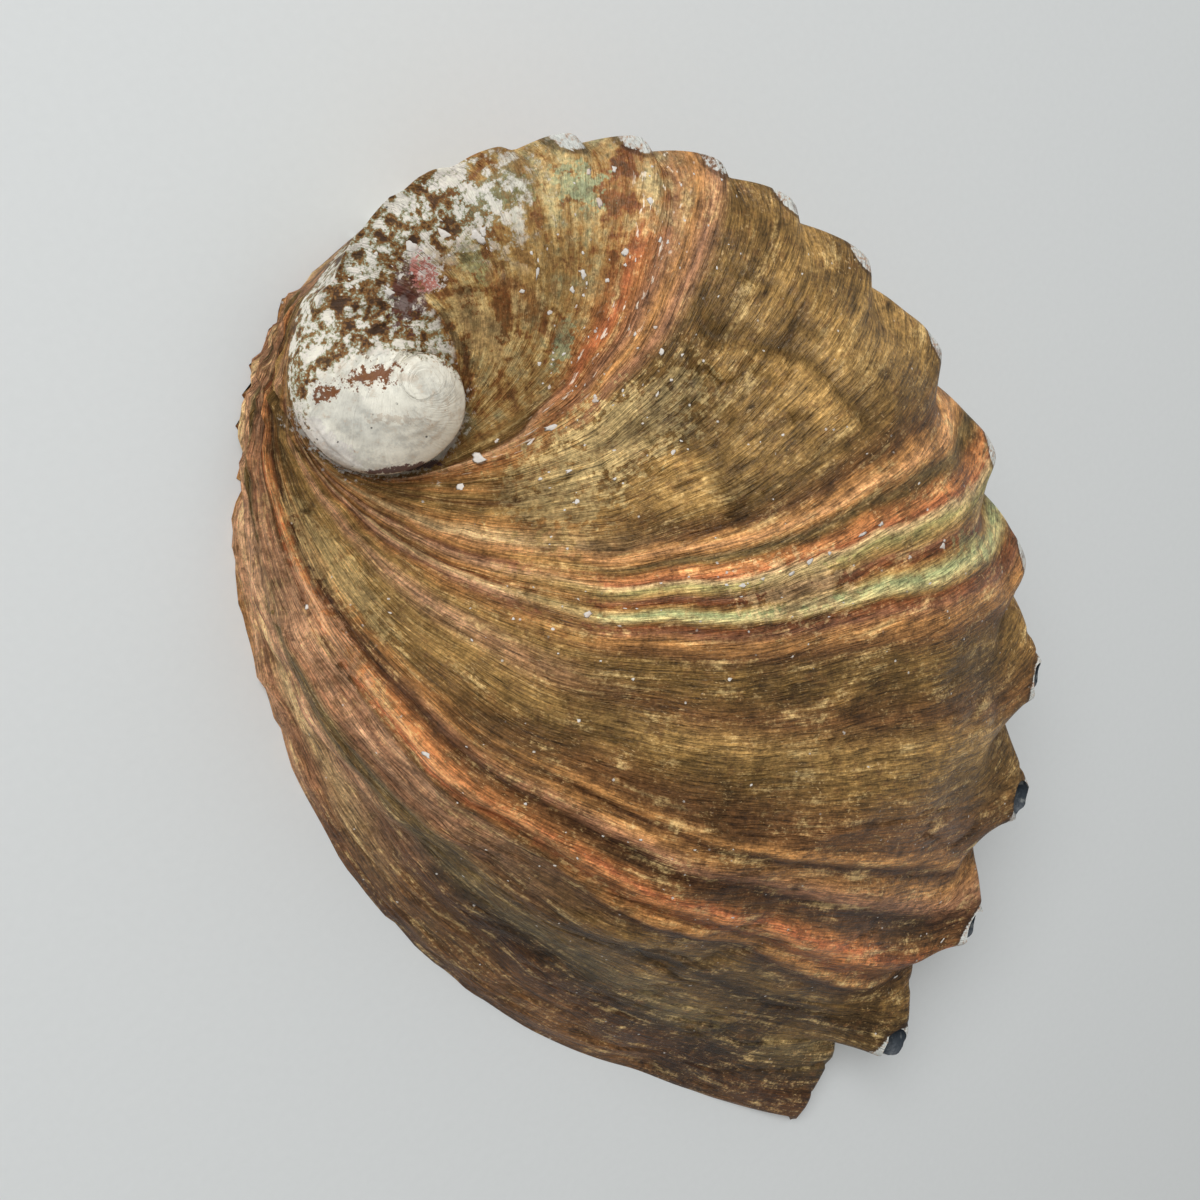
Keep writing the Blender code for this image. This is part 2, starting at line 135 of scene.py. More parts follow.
def ripple(x: Array, y: Array | float, seed: int) -> Array:
    """Smooth random waves between -1 and 1, about one wave for each unit of x and y.

    Args:
        x: first coordinate.
        y: second coordinate, of the same shape or one number.
        seed: picks one pattern out of many.

    Returns:
        The height of the waves.
    """
    x, y = together(x, y)
    column, row = np.floor(x).astype(np.int64), np.floor(y).astype(np.int64)
    u, v = ease(x - column), ease(y - row)

    def corner(i: Array, j: Array) -> Array:
        """Random number between -1 and 1 that belongs to one corner of the grid.

        Args:
            i: column of the corner.
            j: row of the corner.

        Returns:
            The number.
        """
        mixed = (i * SCRAMBLE[0] + j * SCRAMBLE[1] + seed * SCRAMBLE[2]) & KEPT_BITS
        mixed = ((mixed ^ (mixed >> 13)) * SCRAMBLE[3]) & KEPT_BITS
        return ((mixed ^ (mixed >> 16)) & LAST_BITS) / (LAST_BITS / 2) - 1.0

    low = corner(column, row) * (1 - u) + corner(column + 1, row) * u
    high = corner(column, row + 1) * (1 - u) + corner(column + 1, row + 1) * u
    return low * (1 - v) + high * v


def ripples(x: Array, y: Array | float, seed: int, octaves: int) -> Array:
    """Random waves with finer and lower waves laid over them."""
    return sum(ripple(x * 2**k, y * 2**k, seed + k) * 0.5**k for k in range(octaves))


@dataclass(frozen=True)
class Waves:
    """Smooth random waves over two coordinates.

    Attributes:
        first: length of a wave in the first coordinate.
        second: length of a wave in the second one.
        seed: picks one pattern out of many.
        octaves: how many sizes of waves are laid over each other.
    """

    first: float
    second: float
    seed: int
    octaves: int = 1

    def on(self, x: Array, y: Array | float) -> Array:
        """Height of the waves at two coordinates."""
        return ripples(x / self.first, y / self.second, self.seed, self.octaves)


# Form of the shell


@dataclass(frozen=True)
class Knob:
    """One knob of the hole row.

    Attributes:
        stage: stage of its tip.
        height: millimetres that it stands out.
        is_open: whether its breathing hole is still open.
        inset: millimetres that the hole lies in from the tip.
    """

    stage: float
    height: float
    is_open: bool
    inset: float = 0.0


@dataclass(frozen=True)
class Growth:
    """The law that the shell grew by, with the same curves as the solid that it dresses."""

    newest_bearing: float = 61.5
    lip_lead: float = 205.0
    oldest: float = -650.0
    inner_oldest: float = -310.0
    wall: float = 2.2
    lip_wall: float = 1.7
    base_wall: float = 2.6
    turn_in_thinning: float = 0.6
    spire_tip: float = 17.6
    spire_ceiling: float = 9.5
    knob_follow: float = 0.75
    suture_depth: float = 0.4
    length_turn: float = -24.0
    quick_share: float = 0.6
    quick_lead: float = 37.0
    lip_fade: float = 16.0
    crest_stage: float = -65.0
    crest_height: float = 28.3
    swell_peak: float = 0.1662
    old_after: float = 60.0
    old_over: float = 95.0
    row_radius: Knots = (
        (-720, 1.1), (-600, 2.3), (-511, 3.0), (-421, 5.0), (-376, 7.0), (-331, 9.0), (-286, 10.8),
        (-246, 11.7), (-220, 11.9), (-190, 13.4), (-169, 17.0), (-156, 19.8), (-143, 22.4),
        (-129, 26.0), (-105, 34.9), (-84, 46.0), (-61, 63.7), (-42, 83.3), (-24, 103.5),
        (-12, 113.5), (-5.5, 118.5), (0, 127.0),
    )
    row_height: Knots = (
        (-720, 17.5), (-600, 17.3), (-461, 16.0), (-361, 13.0), (-281, 11.2), (-220, 11.2),
        (-190, 12.6), (-168, 15.1), (-141, 19.7), (-116, 24.1), (-92, 27.2), (-71, 28.5),
        (-50, 27.4), (-31, 23.1), (-13, 12.3), (-4, 4.8), (0, 1.6),
    )
    wall_run: Knots = (
        (-720, 0.1), (-240, 0.5), (-200, 0.6), (-155, -2.5), (-120, 2.0), (-90, 4.0), (-60, 6.5),
        (-30, 7.0), (-12, 4.0), (0, 1.0),
    )
    foot_height: Knots = (
        (-720, 17.3), (-600, 16.8), (-511, 15.5), (-421, 13.2), (-361, 11.2), (-300, 9.8),
        (-238, 8.4), (-215, 7.6), (-190, 6.0), (-170, 3.2), (-155, 0.0),
    )
    back_rise: Knots = (
        (-720, 0.0), (-300, 0.6), (-200, 1.2), (-150, 3.1), (-109, 5.6), (-85, 9.9), (-60, 15.5),
        (-30, 13.6), (0, 13.6),
    )
    sweep: Knots = (
        (0, 1.0), (4, 0.991), (10, 0.939), (18, 0.864), (34, 0.752), (43, 0.683), (53, 0.616),
        (63, 0.529), (79, 0.4), (90, 0.305), (104, 0.203), (120, 0.117), (140, 0.053),
        (160, 0.018), (180, 0.008), (205, 0.0),
    )
    shortfall: Knots = (
        (0, 0.0), (6, 0.032), (18, 0.013), (34, 0.045), (53, 0.11), (66, 0.124), (79, 0.128),
        (104, 0.08), (140, 0.023), (165, 0.005), (205, 0.0),
    )
    ledge: Knots = ((-150, 0.0), (-110, 6.0), (-50, 6.5), (-20, 2.5), (-6, 0.0), (0, 0.0))
    knob_rows: Sequence[Knob] = (
        Knob(-8.0, 6.5, True, 1.1), Knob(-17.3, 5.2, True, 0.3), Knob(-26.5, 4.2, True, 1.5),
        Knob(-35.3, 3.6, True, 0.7), Knob(-44.8, 2.8, False), Knob(-54.3, 3.5, False),
        Knob(-65.0, 2.8, False), Knob(-77.0, 2.2, False), Knob(-88.0, 2.0, False),
        Knob(-99.0, 1.8, False), Knob(-111.0, 1.9, False), Knob(-122.5, 1.9, False),
        Knob(-135.0, 1.3, False), Knob(-148.0, 0.9, False), Knob(-161.0, 0.8, False),
        Knob(-175.0, 0.7, False), Knob(-193.0, 0.6, False),
    )
    knob_front: float = 6.5
    knob_back: float = 14.0
    knob_uphill: float = 8.0
    knob_downhill: float = 5.0
    knob_full_radius: float = 75.0
    knob_reach: float = 40.0
    knob_lean: Shares = (0.65, 0.7, 0.2)
    hole_lean: Shares = (0.3, 0.85, 0.42)
    spout_rise: float = 0.17
    spout_dip: float = 0.2
    spout_front: float = 3.6
    spout_back: float = 8.0
    spout_top: float = 1.6
    spout_ramp: float = 5.5
    spout_breadth: float = 3.6
    closed_front: float = 1.4
    downhill_breadth: float = 1.2
    trough_ahead: float = 5.8
    trough_behind: float = -10.0
    trough_breadth: float = 7.0
    rim_radius: float = 2.6
    rim_width: float = 0.7
    rim_height: float = 0.3

    @property
    def seam_lag(self) -> float:
        """How many degrees the seam lags behind the wall that it lies on."""
        return 360.0 - self.lip_lead

    @property
    def turn(self) -> Matrix:
        """Rotation that lays the shell's length along Y."""
        return Matrix.Rotation(math.radians(self.length_turn), 3, "Z")

    def radius(self, stage: Array | float) -> Array:
        """Distance of the hole row from the spire's tip."""
        return np.exp(smooth(stage, [(s, math.log(r)) for s, r in self.row_radius]))

    def place(self, radius: Array, bearing: Array, height: Array) -> Array:
        """Point at a radius and a clockwise bearing about the spire's tip."""
        angle = np.radians(bearing)
        return np.stack([radius * np.cos(angle), -radius * np.sin(angle), height], axis=-1)

    def lead_at(self, column: Array) -> Array:
        """Degrees a growth line has run ahead of the hole row, even along the line.

        Args:
            column: columns from 0 to 1.

        Returns:
            The lead of each.
        """
        lead = np.linspace(0.0, self.lip_lead, 400)
        quick = self.quick_share * (1 - np.exp(-lead / self.quick_lead))
        length = quick + (1 - self.quick_share) * lead / self.lip_lead
        return np.interp(column, 1 - length[::-1] / length[-1], lead[::-1])

    def lead_and_down(self, column: Array) -> tuple[Array, Array]:
        """Lead of each place on the back, and its share of the way down the side wall."""
        lead = np.where(column <= 1.0, self.lead_at(np.clip(column, 0.0, 1.0)), 0.0)
        return lead, np.clip(column - 1.0, 0.0, 1.0)

    def oldness(self, stage: Array) -> Array:
        """How much a stage belongs to the turns of the spire, from 0 to 1."""
        return ease((-stage - self.old_after) / self.old_over)

    def back(self, stage: Array, column: Array) -> Array:
        """Point of the back of the shell, column 0 at the seam and 1 at the hole row.

        Args:
            stage: the stages.
            column: the columns.

        Returns:
            The points.
        """
        lead = self.lead_at(column)
        short = ease(1 + stage / self.lip_fade) * smooth(lead, self.shortfall)
        out = np.clip(smooth(lead, self.sweep) - short, 0.0, 1.0)
        seam_stage = stage + lead - 360.0
        seam_radius = self.radius(seam_stage) + smooth(seam_stage, self.wall_run)
        radius = np.exp((1 - out) * np.log(seam_radius) + out * np.log(self.radius(stage)))
        rise_stages = 28.0 + 22.0 * np.clip((out - 0.8) / 0.2, 0.0, 1.0)
        risen = 1 - np.clip(1 + stage / rise_stages, 0.0, 1.0) ** 1.9
        row_height = smooth(stage, self.row_height)
        full_height = np.where(stage > self.crest_stage, self.crest_height, row_height)
        slope = out**1.8
        swell = out**3 * (1 - out) ** 0.7 / self.swell_peak
        old = self.oldness(stage)
        line_foot = smooth(stage - self.seam_lag, self.foot_height)
        foot = old * smooth(seam_stage, self.foot_height) + (1 - old) * line_foot
        height = foot * (1 - slope)
        height = height + risen * (full_height * slope + smooth(stage, self.back_rise) * swell)
        near_row = np.clip((out - 0.9) / 0.1, 0.0, 1.0) ** 2
        height = height + (row_height - risen * full_height) * near_row
        return self.place(radius, self.newest_bearing + stage + lead, height)

    def side(self, stage: Array, down: Array) -> Array:
        """Point of the side wall, down 0 at the hole row and 1 at its foot.

        Args:
            stage: the stages.
            down: share of the way down the wall.

        Returns:
            The points.
        """
        radius = self.radius(stage) + smooth(stage, self.wall_run) * (1 - (1 - down) ** 1.8)
        top, foot = smooth(stage, self.row_height), smooth(stage, self.foot_height)
        height = top - (top - foot) * (0.5 * down + 0.5 * down**2)
        return self.place(radius, self.newest_bearing + stage, height)

    def plain(self, stage: Array | float, column: Array | float) -> Array:
        """Outside of the shell without knobs.

        Args:
            stage: the stages.
            column: the columns.

        Returns:
            The points.
        """
        stage, column = together(stage, column)
        back = self.back(stage, np.clip(column, 0.0, 1.0))
        side = self.side(stage, np.clip(column - 1.0, 0.0, 1.0))
        return np.where((column > 1.0)[..., None], side, back)

    def along_row(self, stage: float) -> Array:
        """Direction forwards along the hole row."""
        return unit(self.plain(stage + 1.0, 1.0) - self.plain(stage - 1.0, 1.0))

    def lean(self, stage: float, shares: Shares) -> Array:
        """Direction made of shares outwards, upwards and forwards at the hole row.

        Args:
            stage: where on the hole row.
            shares: the three shares.

        Returns:
            A direction of length 1.
        """
        bearing = math.radians(self.newest_bearing + stage)
        out = np.array([math.cos(bearing), -math.sin(bearing), 0.0])
        return unit(shares[0] * out + shares[1] * UP + shares[2] * self.along_row(stage))

    def knob_size(self, knob: Knob) -> float:
        """Size of a knob as a share of those on the widest part."""
        return min(1.0, float(self.radius(knob.stage)) / self.knob_full_radius) ** 0.6

    def knobs(self, stage: Array, column: Array) -> Array:
        """Displacement of the outside by the knobs round the breathing holes.

        Args:
            stage: the stages.
            column: the columns.

        Returns:
            The displacements.
        """
        stage, column = together(stage, column)
        point = self.plain(stage, column)
        row = self.plain(stage, np.ones_like(stage))
        across = np.linalg.norm(point - row, axis=-1)
        total = np.zeros_like(point)
        for knob in self.knob_rows:
            centre = self.plain(knob.stage, 1.0)
            size = self.knob_size(knob)
            along = np.linalg.norm(row - centre, axis=-1) / size
            ahead, behind = ease(1 - along / self.knob_front), ease(1 - along / self.knob_back)
            profile = np.where(stage > knob.stage, ahead, behind)
            profile = np.where(np.abs(stage - knob.stage) < self.knob_reach, profile, 0.0)
            spread = np.where(column > 1.0, self.knob_downhill, self.knob_uphill) * size
            amount = knob.height * profile * bell(across / spread)
            total = total + amount[..., None] * self.lean(knob.stage, self.knob_lean)
        return total

    def row_beside(self, stage: Array, column: Array) -> tuple[Array, Array]:
        """Point of the hole row at each stage, and millimetres across the row, above 0 uphill of it.

        Args:
            stage: the stages.
            column: the columns.

        Returns:
            The points and the distances.
        """
        row = self.plain(stage, np.ones_like(stage))
        across = np.linalg.norm(self.plain(stage, column) - row, axis=-1)
        return row, across * np.where(column > 1.0, -1.0, 1.0)

    def ahead_of(self, knob: Knob, stage: Array, row: Array) -> Array:
        """Millimetres ahead of a knob along the hole row, and far more where the knob doesn't reach."""
        ahead = np.linalg.norm(row - self.plain(knob.stage, 1.0), axis=-1) * np.sign(stage - knob.stage)
        return np.where(np.abs(stage - knob.stage) > self.knob_reach, 99.0, ahead)

    def spouts(self, stage: Array, column: Array) -> Array:
        """Displacement of the outside by the blunt spouts on the knobs and the dips beside them.

        Args:
            stage: the stages.
            column: the columns.

        Returns:
            The displacements.
        """
        stage, column = together(stage, column)
        row, true_across = self.row_beside(stage, column)
        total = np.zeros(stage.shape + (3,))
        for knob in self.knob_rows:
            size = self.knob_size(knob)
            ahead, across = self.ahead_of(knob, stage, row) / size, true_across / size
            front = self.spout_front + (0.0 if knob.is_open else self.closed_front)
            crest = ease((front - ahead) / (front - self.spout_top))
            crest = crest * ease((self.spout_back + ahead) / self.spout_ramp)
            breadth = np.where(across > 0, self.spout_breadth, self.spout_breadth + self.downhill_breadth)
            amount = self.spout_rise * knob.height * crest * bell(across / breadth)
            troughs = bell((ahead - self.trough_ahead) / 2.0) + 0.5 * bell((ahead - self.trough_behind) / 2.6)
            amount = amount - self.spout_dip * knob.height * troughs * bell(across / self.trough_breadth)
            if knob.is_open:
                ring = bell((np.hypot(ahead, across) - self.rim_radius) / self.rim_width)
                amount = amount + self.rim_height * ring
            total = total + amount[..., None] * self.lean(knob.stage, self.knob_lean)
        return total

    def suture(self, stage: Array, column: Array) -> Array:
        """Displacement of the outside by the groove that runs along the seam round the spire.

        Args:
            stage: the stages.
            column: the columns.

        Returns:
            The displacements.
        """
        share = self.oldness(stage) * ease(column / 0.06) * ease((0.45 - column) / 0.3)
        size = np.clip(np.linalg.norm(self.plain(stage, column)[..., :2], axis=-1) / 7.0, 0.0, 1.0)
        return -(self.suture_depth * share * size)[..., None] * UP

    def outside(self, stage: Array, column: Array) -> Array:
        """Outer surface of the shell."""
        stage, column = together(stage, column)
        return self.plain(stage, column) + self.knobs(stage, column) + self.suture(stage, column)

    def normal(self, stage: Array, column: Array) -> Array:
        """Direction square to the outside, pointing out of the shell.

        Args:
            stage: the stages.
            column: the columns.

        Returns:
            Directions of length 1.
        """
        step, side = 2.5, 0.06
        ahead = self.plain(np.minimum(stage + step, 0.0), column)
        behind = self.plain(stage - step, column)
        outer = self.plain(stage, np.minimum(column + side, 2.0))
        inner = self.plain(stage, np.maximum(column - side, 0.0))
        return unit(np.cross(ahead - behind, outer - inner))

    def inside(self, stage: Array, column: Array) -> Array:
        """Inner surface of the shell, a wall's thickness in from the outer one.

        Args:
            stage: the stages.
            column: the columns.

        Returns:
            The points.
        """
        stage, column = together(stage, column)
        outer = self.plain(stage, column)
        radius = np.linalg.norm(outer[..., :2], axis=-1)
        away = outer * LEVEL / np.maximum(radius, 1e-6)[..., None]
        at_seam = (1 - ease(column / 0.25))[..., None]
        cliff = ease((stage + self.lead_at(column) - 360.0 + 270.0) / 80.0)[..., None]
        seam_normal = unit(away * cliff + (1 - cliff) * UP)
        normal = unit(self.normal(stage, column) * (1 - at_seam) + seam_normal * at_seam)

        near_row = np.where(column > 1.0, 2.0 - column, ease((column - 0.45) / 0.5))
        ahead = self.plain(stage + 1.0, 1.0) - self.plain(stage - 1.0, 1.0)
        off_row = unit(np.stack([-ahead[..., 1], ahead[..., 0], 0 * stage], axis=-1))
        level = np.linalg.norm(normal[..., :2], axis=-1)
        flat = normal * LEVEL / np.maximum(level, 1e-6)[..., None]
        by_row = np.where(column > 1.0, 1.0, near_row)[..., None]
        outwards = unit(flat * (1 - by_row) + off_row * by_row)
        level = np.where(column > 1.0, 1.0 - 0.2 * near_row, level * (1 - near_row) + 0.8 * near_row)
        fall = np.maximum(normal[..., 2], 0.9 * near_row)

        rim_lip = 1 - ease(-stage / 4.0)
        rim_foot = np.where(stage > -self.seam_lag, ease((column - 1.6) / 0.4), 0.0)
        rim = np.maximum(rim_lip, rim_foot)
        thick = self.lip_wall + (self.wall - self.lip_wall) * ease(-stage / 12.0)
        thick = thick + (self.base_wall - thick) * rim_foot * (1 - rim_lip)
        thick = thick * (1 - self.turn_in_thinning * ease(1 + stage / 40.0) * ease((0.55 - column) / 0.2))
        ledge = smooth(stage, self.ledge) * ease((column - 1.3) / 0.5) * ease((2.0 - column) / 0.2)
        inwards = thick * (level * (1 - rim) + rim) * radius / (radius + self.wall) + ledge
        lowered = np.minimum(thick * fall * (1 - rim), 0.75 * outer[..., 2])
        moved = outer - outwards * inwards[..., None] - lowered[..., None] * UP

        drawn_in = outer * (radius / (radius + self.wall))[..., None]
        drawn_in[..., 2] = outer[..., 2] - np.minimum(self.wall, 0.75 * outer[..., 2])
        spire = ease((-stage - 165.0) / 40.0)[..., None]
        moved = moved * (1 - spire) + drawn_in * spire
        corner = rim_lip * ease((column - 0.8) / 0.2)
        back = unit(self.plain(0.0, 1.0) - self.plain(-2.0, 1.0)) * LEVEL
        moved = moved - back * (self.lip_wall * corner)[..., None]
        return moved + self.knob_follow * (1 - rim[..., None]) * self.knobs(stage, column)

    def travelled(self, stage: Array) -> Array:
        """Millimetres that the shell grew up to a stage, measured two thirds of the way out.

        Args:
            stage: the stages.

        Returns:
            Lengths, 0 at the lip and less before it.
        """
        stages = np.linspace(self.oldest - 60.0, 0.0, 1400)
        path = self.plain(stages, 0.66)
        steps = np.linalg.norm(np.diff(path, axis=0), axis=-1)
        length = np.concatenate([[0.0], np.cumsum(steps)])
        return np.interp(stage, stages, length - length[-1])


@dataclass(frozen=True)
class Bands:
    """How the coloured growth bands wander across the stages as they run from hole row to seam."""

    young: Knots = (
        (0, 4.2), (6, 3.6), (11, 2.4), (18, 1.0), (25, 0.0), (36, -1.2), (50, -2.3), (75, -3.3),
        (205, -3.6),
    )
    old: Knots = (
        (0, 1.2), (12, 1.0), (25, 0.0), (45, -1.6), (62, -0.6), (80, 5.0), (95, 6.0), (205, 6.4),
    )
    old_after: float = 80.0
    old_over: float = 18.0
    wide_waver: Waves = Waves(9.0, 26.0, 5)
    fine_waver: Waves = Waves(3.6, 12.0, 6)

    def stage(self, stage: Array, lead: Array, along: Array) -> Array:
        """Stage at which a place's colour is read.

        Args:
            stage: true stage.
            lead: degrees ahead of the hole row.
            along: millimetres grown up to the stage.

        Returns:
            The stage with the bands' wander and waver taken off.
        """
        old = ease((-stage - self.old_after) / self.old_over)
        wander = smooth(lead, self.young) * (1 - old) + smooth(lead, self.old) * old
        reach = ease(lead / 8.0)
        waver = 0.55 * self.wide_waver.on(lead, along) + 0.28 * self.fine_waver.on(lead, along)
        return stage - wander + waver * (0.35 + 0.65 * reach)


@dataclass(frozen=True)
class Ridge:
    """One growth ridge, or a groove where its height is below 0."""

    stage: float
    height: float
    width: float
    lead_from: float = 0.0
    lead_to: float = 205.0


@dataclass(frozen=True)
class Relief:
    """Low relief of the outside: growth ridges, folds, lumps and worn crust."""

    growth: Growth
    bands: Bands
    ridges: Sequence[Ridge] = (
        Ridge(-110.0, 0.45, 2.2, 4, 62), Ridge(-112.0, 0.5, 1.6, 62, 120),
        Ridge(-106.5, -0.25, 1.2, 4, 110), Ridge(-98.0, 0.2, 1.5, 30, 120),
        Ridge(-66.2, -0.3, 0.9, 3, 60), Ridge(-63.7, 0.35, 0.9, 2, 110),
        Ridge(-61.9, -0.25, 0.6, 2, 60), Ridge(-59.8, 0.4, 1.0, 1, 120),
        Ridge(-55.2, -0.3, 0.7, 1, 120), Ridge(-52.6, 0.35, 0.8, 1, 130),
        Ridge(-51.2, -0.4, 0.5, 1, 130), Ridge(-47.5, 0.2, 0.9, 10, 130),
        Ridge(-43.0, -0.2, 1.0, 1, 90), Ridge(-27.6, 0.45, 0.8, 4, 90), Ridge(-26.3, -0.35, 0.5, 2, 90),
        Ridge(-24.4, 0.5, 0.8, 4, 90), Ridge(-22.6, -0.5, 0.6, 4, 110), Ridge(-19.9, 1.0, 1.0, 3, 150),
        Ridge(-18.1, -0.3, 0.4, 3, 90), Ridge(-17.3, 0.35, 0.5, 4, 60), Ridge(-16.0, -0.4, 0.8, 3, 150),
        Ridge(-11.5, 0.3, 0.9, 30, 150), Ridge(-8.0, -0.3, 0.9, 20, 150),
        Ridge(-5.4, 0.5, 1.0, 14, 150), Ridge(-3.6, -0.25, 0.5, 14, 120),
        Ridge(-1.6, 0.3, 0.8, 10, 150),
    )
    fold_leads: Sequence[float] = (15.0, 32.0, 63.0)
    fold_shares: Sequence[float] = (0.8, 1.0, 0.5)
    fold_depth: float = 1.9
    fold_oldest: float = -101.0
    fold_newest: float = -64.0
    fold_bend: Waves = Waves(8.0, 11.0, 21, 2)
    fold_break: Waves = Waves(6.0, 9.0, 23)
    creases: Waves = Waves(7.0, 8.0, 24, 3)
    ridge_vary: Waves = Waves(7.0, 1.0, 31)
    line_wander: Waves = Waves(8.0, 9.0, 41)
    lines: Waves = Waves(2.6, 26.0, 42)
    fine_lines: Waves = Waves(1.25, 18.0, 43)
    line_patches: Waves = Waves(15.0, 12.0, 44)
    line_height: float = 0.13
    lumps: Waves = Waves(11.0, 9.0, 51, 3)
    lump_height: float = 0.42
    pits: Waves = Waves(2.2, 5.0, 61, 3)
    crust_height: float = 0.22
    crust_after: float = 128.0
    crust_before: float = 330.0
    wrinkles: Waves = Waves(3.4, 7.0, 45, 3)
    wrinkle_depth: float = 0.34
    wrinkle_oldest: float = -50.0
    deepest: float = 1.5
    frill: float = 0.8
    frill_waves: Waves = Waves(5.0, 1.0, 71)
    fine_frill: Waves = Waves(1.7, 1.0, 72)
    dome_fall: float = 0.05
    dome_calm: float = 0.7
    dome_after: float = 330.0

    def folds(self, stage: Array, lead: Array, along: Array) -> Array:
        """Depth of the slanting valleys on the shell's middle.

        Args:
            stage: the stages.
            lead: degrees ahead of the hole row.
            along: millimetres grown.

        Returns:
            Heights, below 0 in a valley.
        """
        total = np.zeros_like(stage)
        for valley, depth in zip(self.fold_leads, self.fold_shares):
            slant = np.log(np.maximum(lead, 1.0) / valley) - 0.012 * (-70.0 - stage)
            slant = slant + 0.16 * self.fold_bend.on(along, lead)
            broken = 0.75 + 0.6 * self.fold_break.on(along, lead)
            total = total - depth * broken * (0.55 * bell(slant / 0.06) + 0.35 * bell(slant / 0.16))
            total = total + 0.35 * depth * bell((slant - 0.2) / 0.14)
        crease = np.abs(self.creases.on(along, lead))
        total = total - 0.4 * bell(crease / 0.16) * ease((lead - 6.0) / 10.0) * ease((88.0 - lead) / 25.0)
        here = ease((stage - self.fold_oldest) / 12.0) * ease((self.fold_newest - stage) / 7.0)
        return self.fold_depth * total * here

    def height(self, stage: Array, lead: Array, column: Array, down: Array) -> Array:
        """Height of the relief over the plain outside.

        Args:
            stage: true stage.
            lead: degrees ahead of the hole row.
            column: 0 at the seam, 1 at the hole row, 2 at the foot of the wall.
            down: share of the way down the side wall.

        Returns:
            Millimetres along the surface's normal.
        """
        along = self.growth.travelled(stage)
        band = self.bands.stage(stage, lead, along)
        total = self.folds(stage, lead, along)
        for ridge in self.ridges:
            reach = ease((lead - ridge.lead_from + 4) / 6.0) * ease((ridge.lead_to - lead) / 25.0)
            vary = 0.75 + 0.4 * self.ridge_vary.on(lead, ridge.stage)
            total = total + ridge.height * reach * vary * bell((band - ridge.stage) / ridge.width)
        grown = along + 0.8 * self.line_wander.on(lead, along)
        breadth = np.clip(self.growth.radius(stage) / 60.0, 0.25, 1.0)
        fine = self.lines.on(grown, lead) + 0.7 * self.fine_lines.on(grown, lead)
        patches = 0.6 + 0.6 * self.line_patches.on(along, lead)
        total = total + self.line_height * fine * patches * breadth
        young = 1.0 + ease((stage + 70.0) / 25.0)
        total = total + self.lump_height * young * self.lumps.on(along, lead) * breadth
        worn = ease((-stage - self.crust_after) / 30.0)
        rough = worn * self.pits.on(along, lead) * worn
        total = total + self.crust_height * rough * ease((self.crust_before + stage) / 60)
        wrinkle = bell(np.abs(self.wrinkles.on(grown, lead)) / 0.12)
        total = total - self.wrinkle_depth * wrinkle * ease((stage - self.wrinkle_oldest) / 14.0)
        total = total * ease(column / 0.09) * (1 - 0.75 * ease(down * 1.4)) * ease(-stage / 1.2)
        return np.where(total < 0, -self.deepest * np.tanh(-total / self.deepest), total)


# Mesh of the shell


@dataclass
class Skin:
    """One skin of the shell as a net of growth places, with the points that the net is hung on.

    Attributes:
        stage: stage of each place of the net.
        column: column of each place.
        owner: number of the point that each place hangs on.
        points: place of each point in space.
        faces: loops of places, seen from outside the wall.
        lip: places along the lip.
        foot: places along the foot of the side wall.
    """

    stage: list[float] = field(default_factory=list)
    column: list[float] = field(default_factory=list)
    owner: list[int] = field(default_factory=list)
    points: list[Array] = field(default_factory=list)
    faces: list[Loop] = field(default_factory=list)
    lip: list[int] = field(default_factory=list)
    foot: list[int] = field(default_factory=list)

    def hang(self, points: Array, stage: Array | float, column: Array) -> Array:
        """Add new points with their places and return the places' numbers.

        Args:
            points: the new points.
            stage: their stages.
            column: their columns.

        Returns:
            The numbers.
        """
        points = np.asarray(points, float).reshape(-1, 3)
        start, first = len(self.stage), len(self.points)
        self.points.extend(points)
        self.stage.extend(np.broadcast_to(stage, len(points)).tolist())
        self.column.extend(np.broadcast_to(column, len(points)).tolist())
        self.owner.extend(range(first, first + len(points)))
        return np.arange(start, start + len(points))

    def share(self, place: int, stage: float, column: float) -> int:
        """Add a second place on the point of another one and return its number.

        Args:
            place: the other place.
            stage: stage of the new one.
            column: column of the new one.

        Returns:
            The number.
        """
        self.stage.append(stage)
        self.column.append(column)
        self.owner.append(self.owner[place])
        return len(self.stage) - 1

    def weave(self, rows: Sequence[Array]) -> None:
        """Add the faces between rows of places of equal length.

        Args:
            rows: the rows, newest first.
        """
        for newer, older in zip(rows, rows[1:]):
            self.faces.extend(
                zip(newer[:-1].tolist(), newer[1:].tolist(), older[1:].tolist(), older[:-1].tolist())
            )


@dataclass(frozen=True)
class Net:
    """What one skin is woven from.

    Attributes:
        surface: gives the point of a stage and a column.
        stages: rows of the newest turn, newest first.
        columns: places along each of those rows.
        spire_rows: rows in each length of the seam's lag on the older turns.
        spire_columns: places along each row of the older turns.
        oldest: stage at which the spiral is closed with its tip.
        tip_height: height of the tip.
    """

    surface: Callable[[Array, Array], Array]
    stages: Array
    columns: Array
    spire_rows: int
    spire_columns: Array
    oldest: float
    tip_height: float


def stitch(first: Sequence[int], first_at: Array, second: Sequence[int], second_at: Array) -> list[Loop]:
    """Triangles between two chains of places.

    Args:
        first: places of the first chain.
        first_at: how far along each of them lies.
        second: places of the second chain.
        second_at: how far along each of those lies.

    Returns:
        Triangles that close the gap between the chains.
    """
    faces, i, j = [], 0, 0
    while i < len(first) - 1 or j < len(second) - 1:
        last_i, last_j = i == len(first) - 1, j == len(second) - 1
        if last_j or (not last_i and first_at[i + 1] <= second_at[j + 1]):
            faces.append((first[i], first[i + 1], second[j]))
            i += 1
        else:
            faces.append((first[i], second[j + 1], second[j]))
            j += 1
    return faces


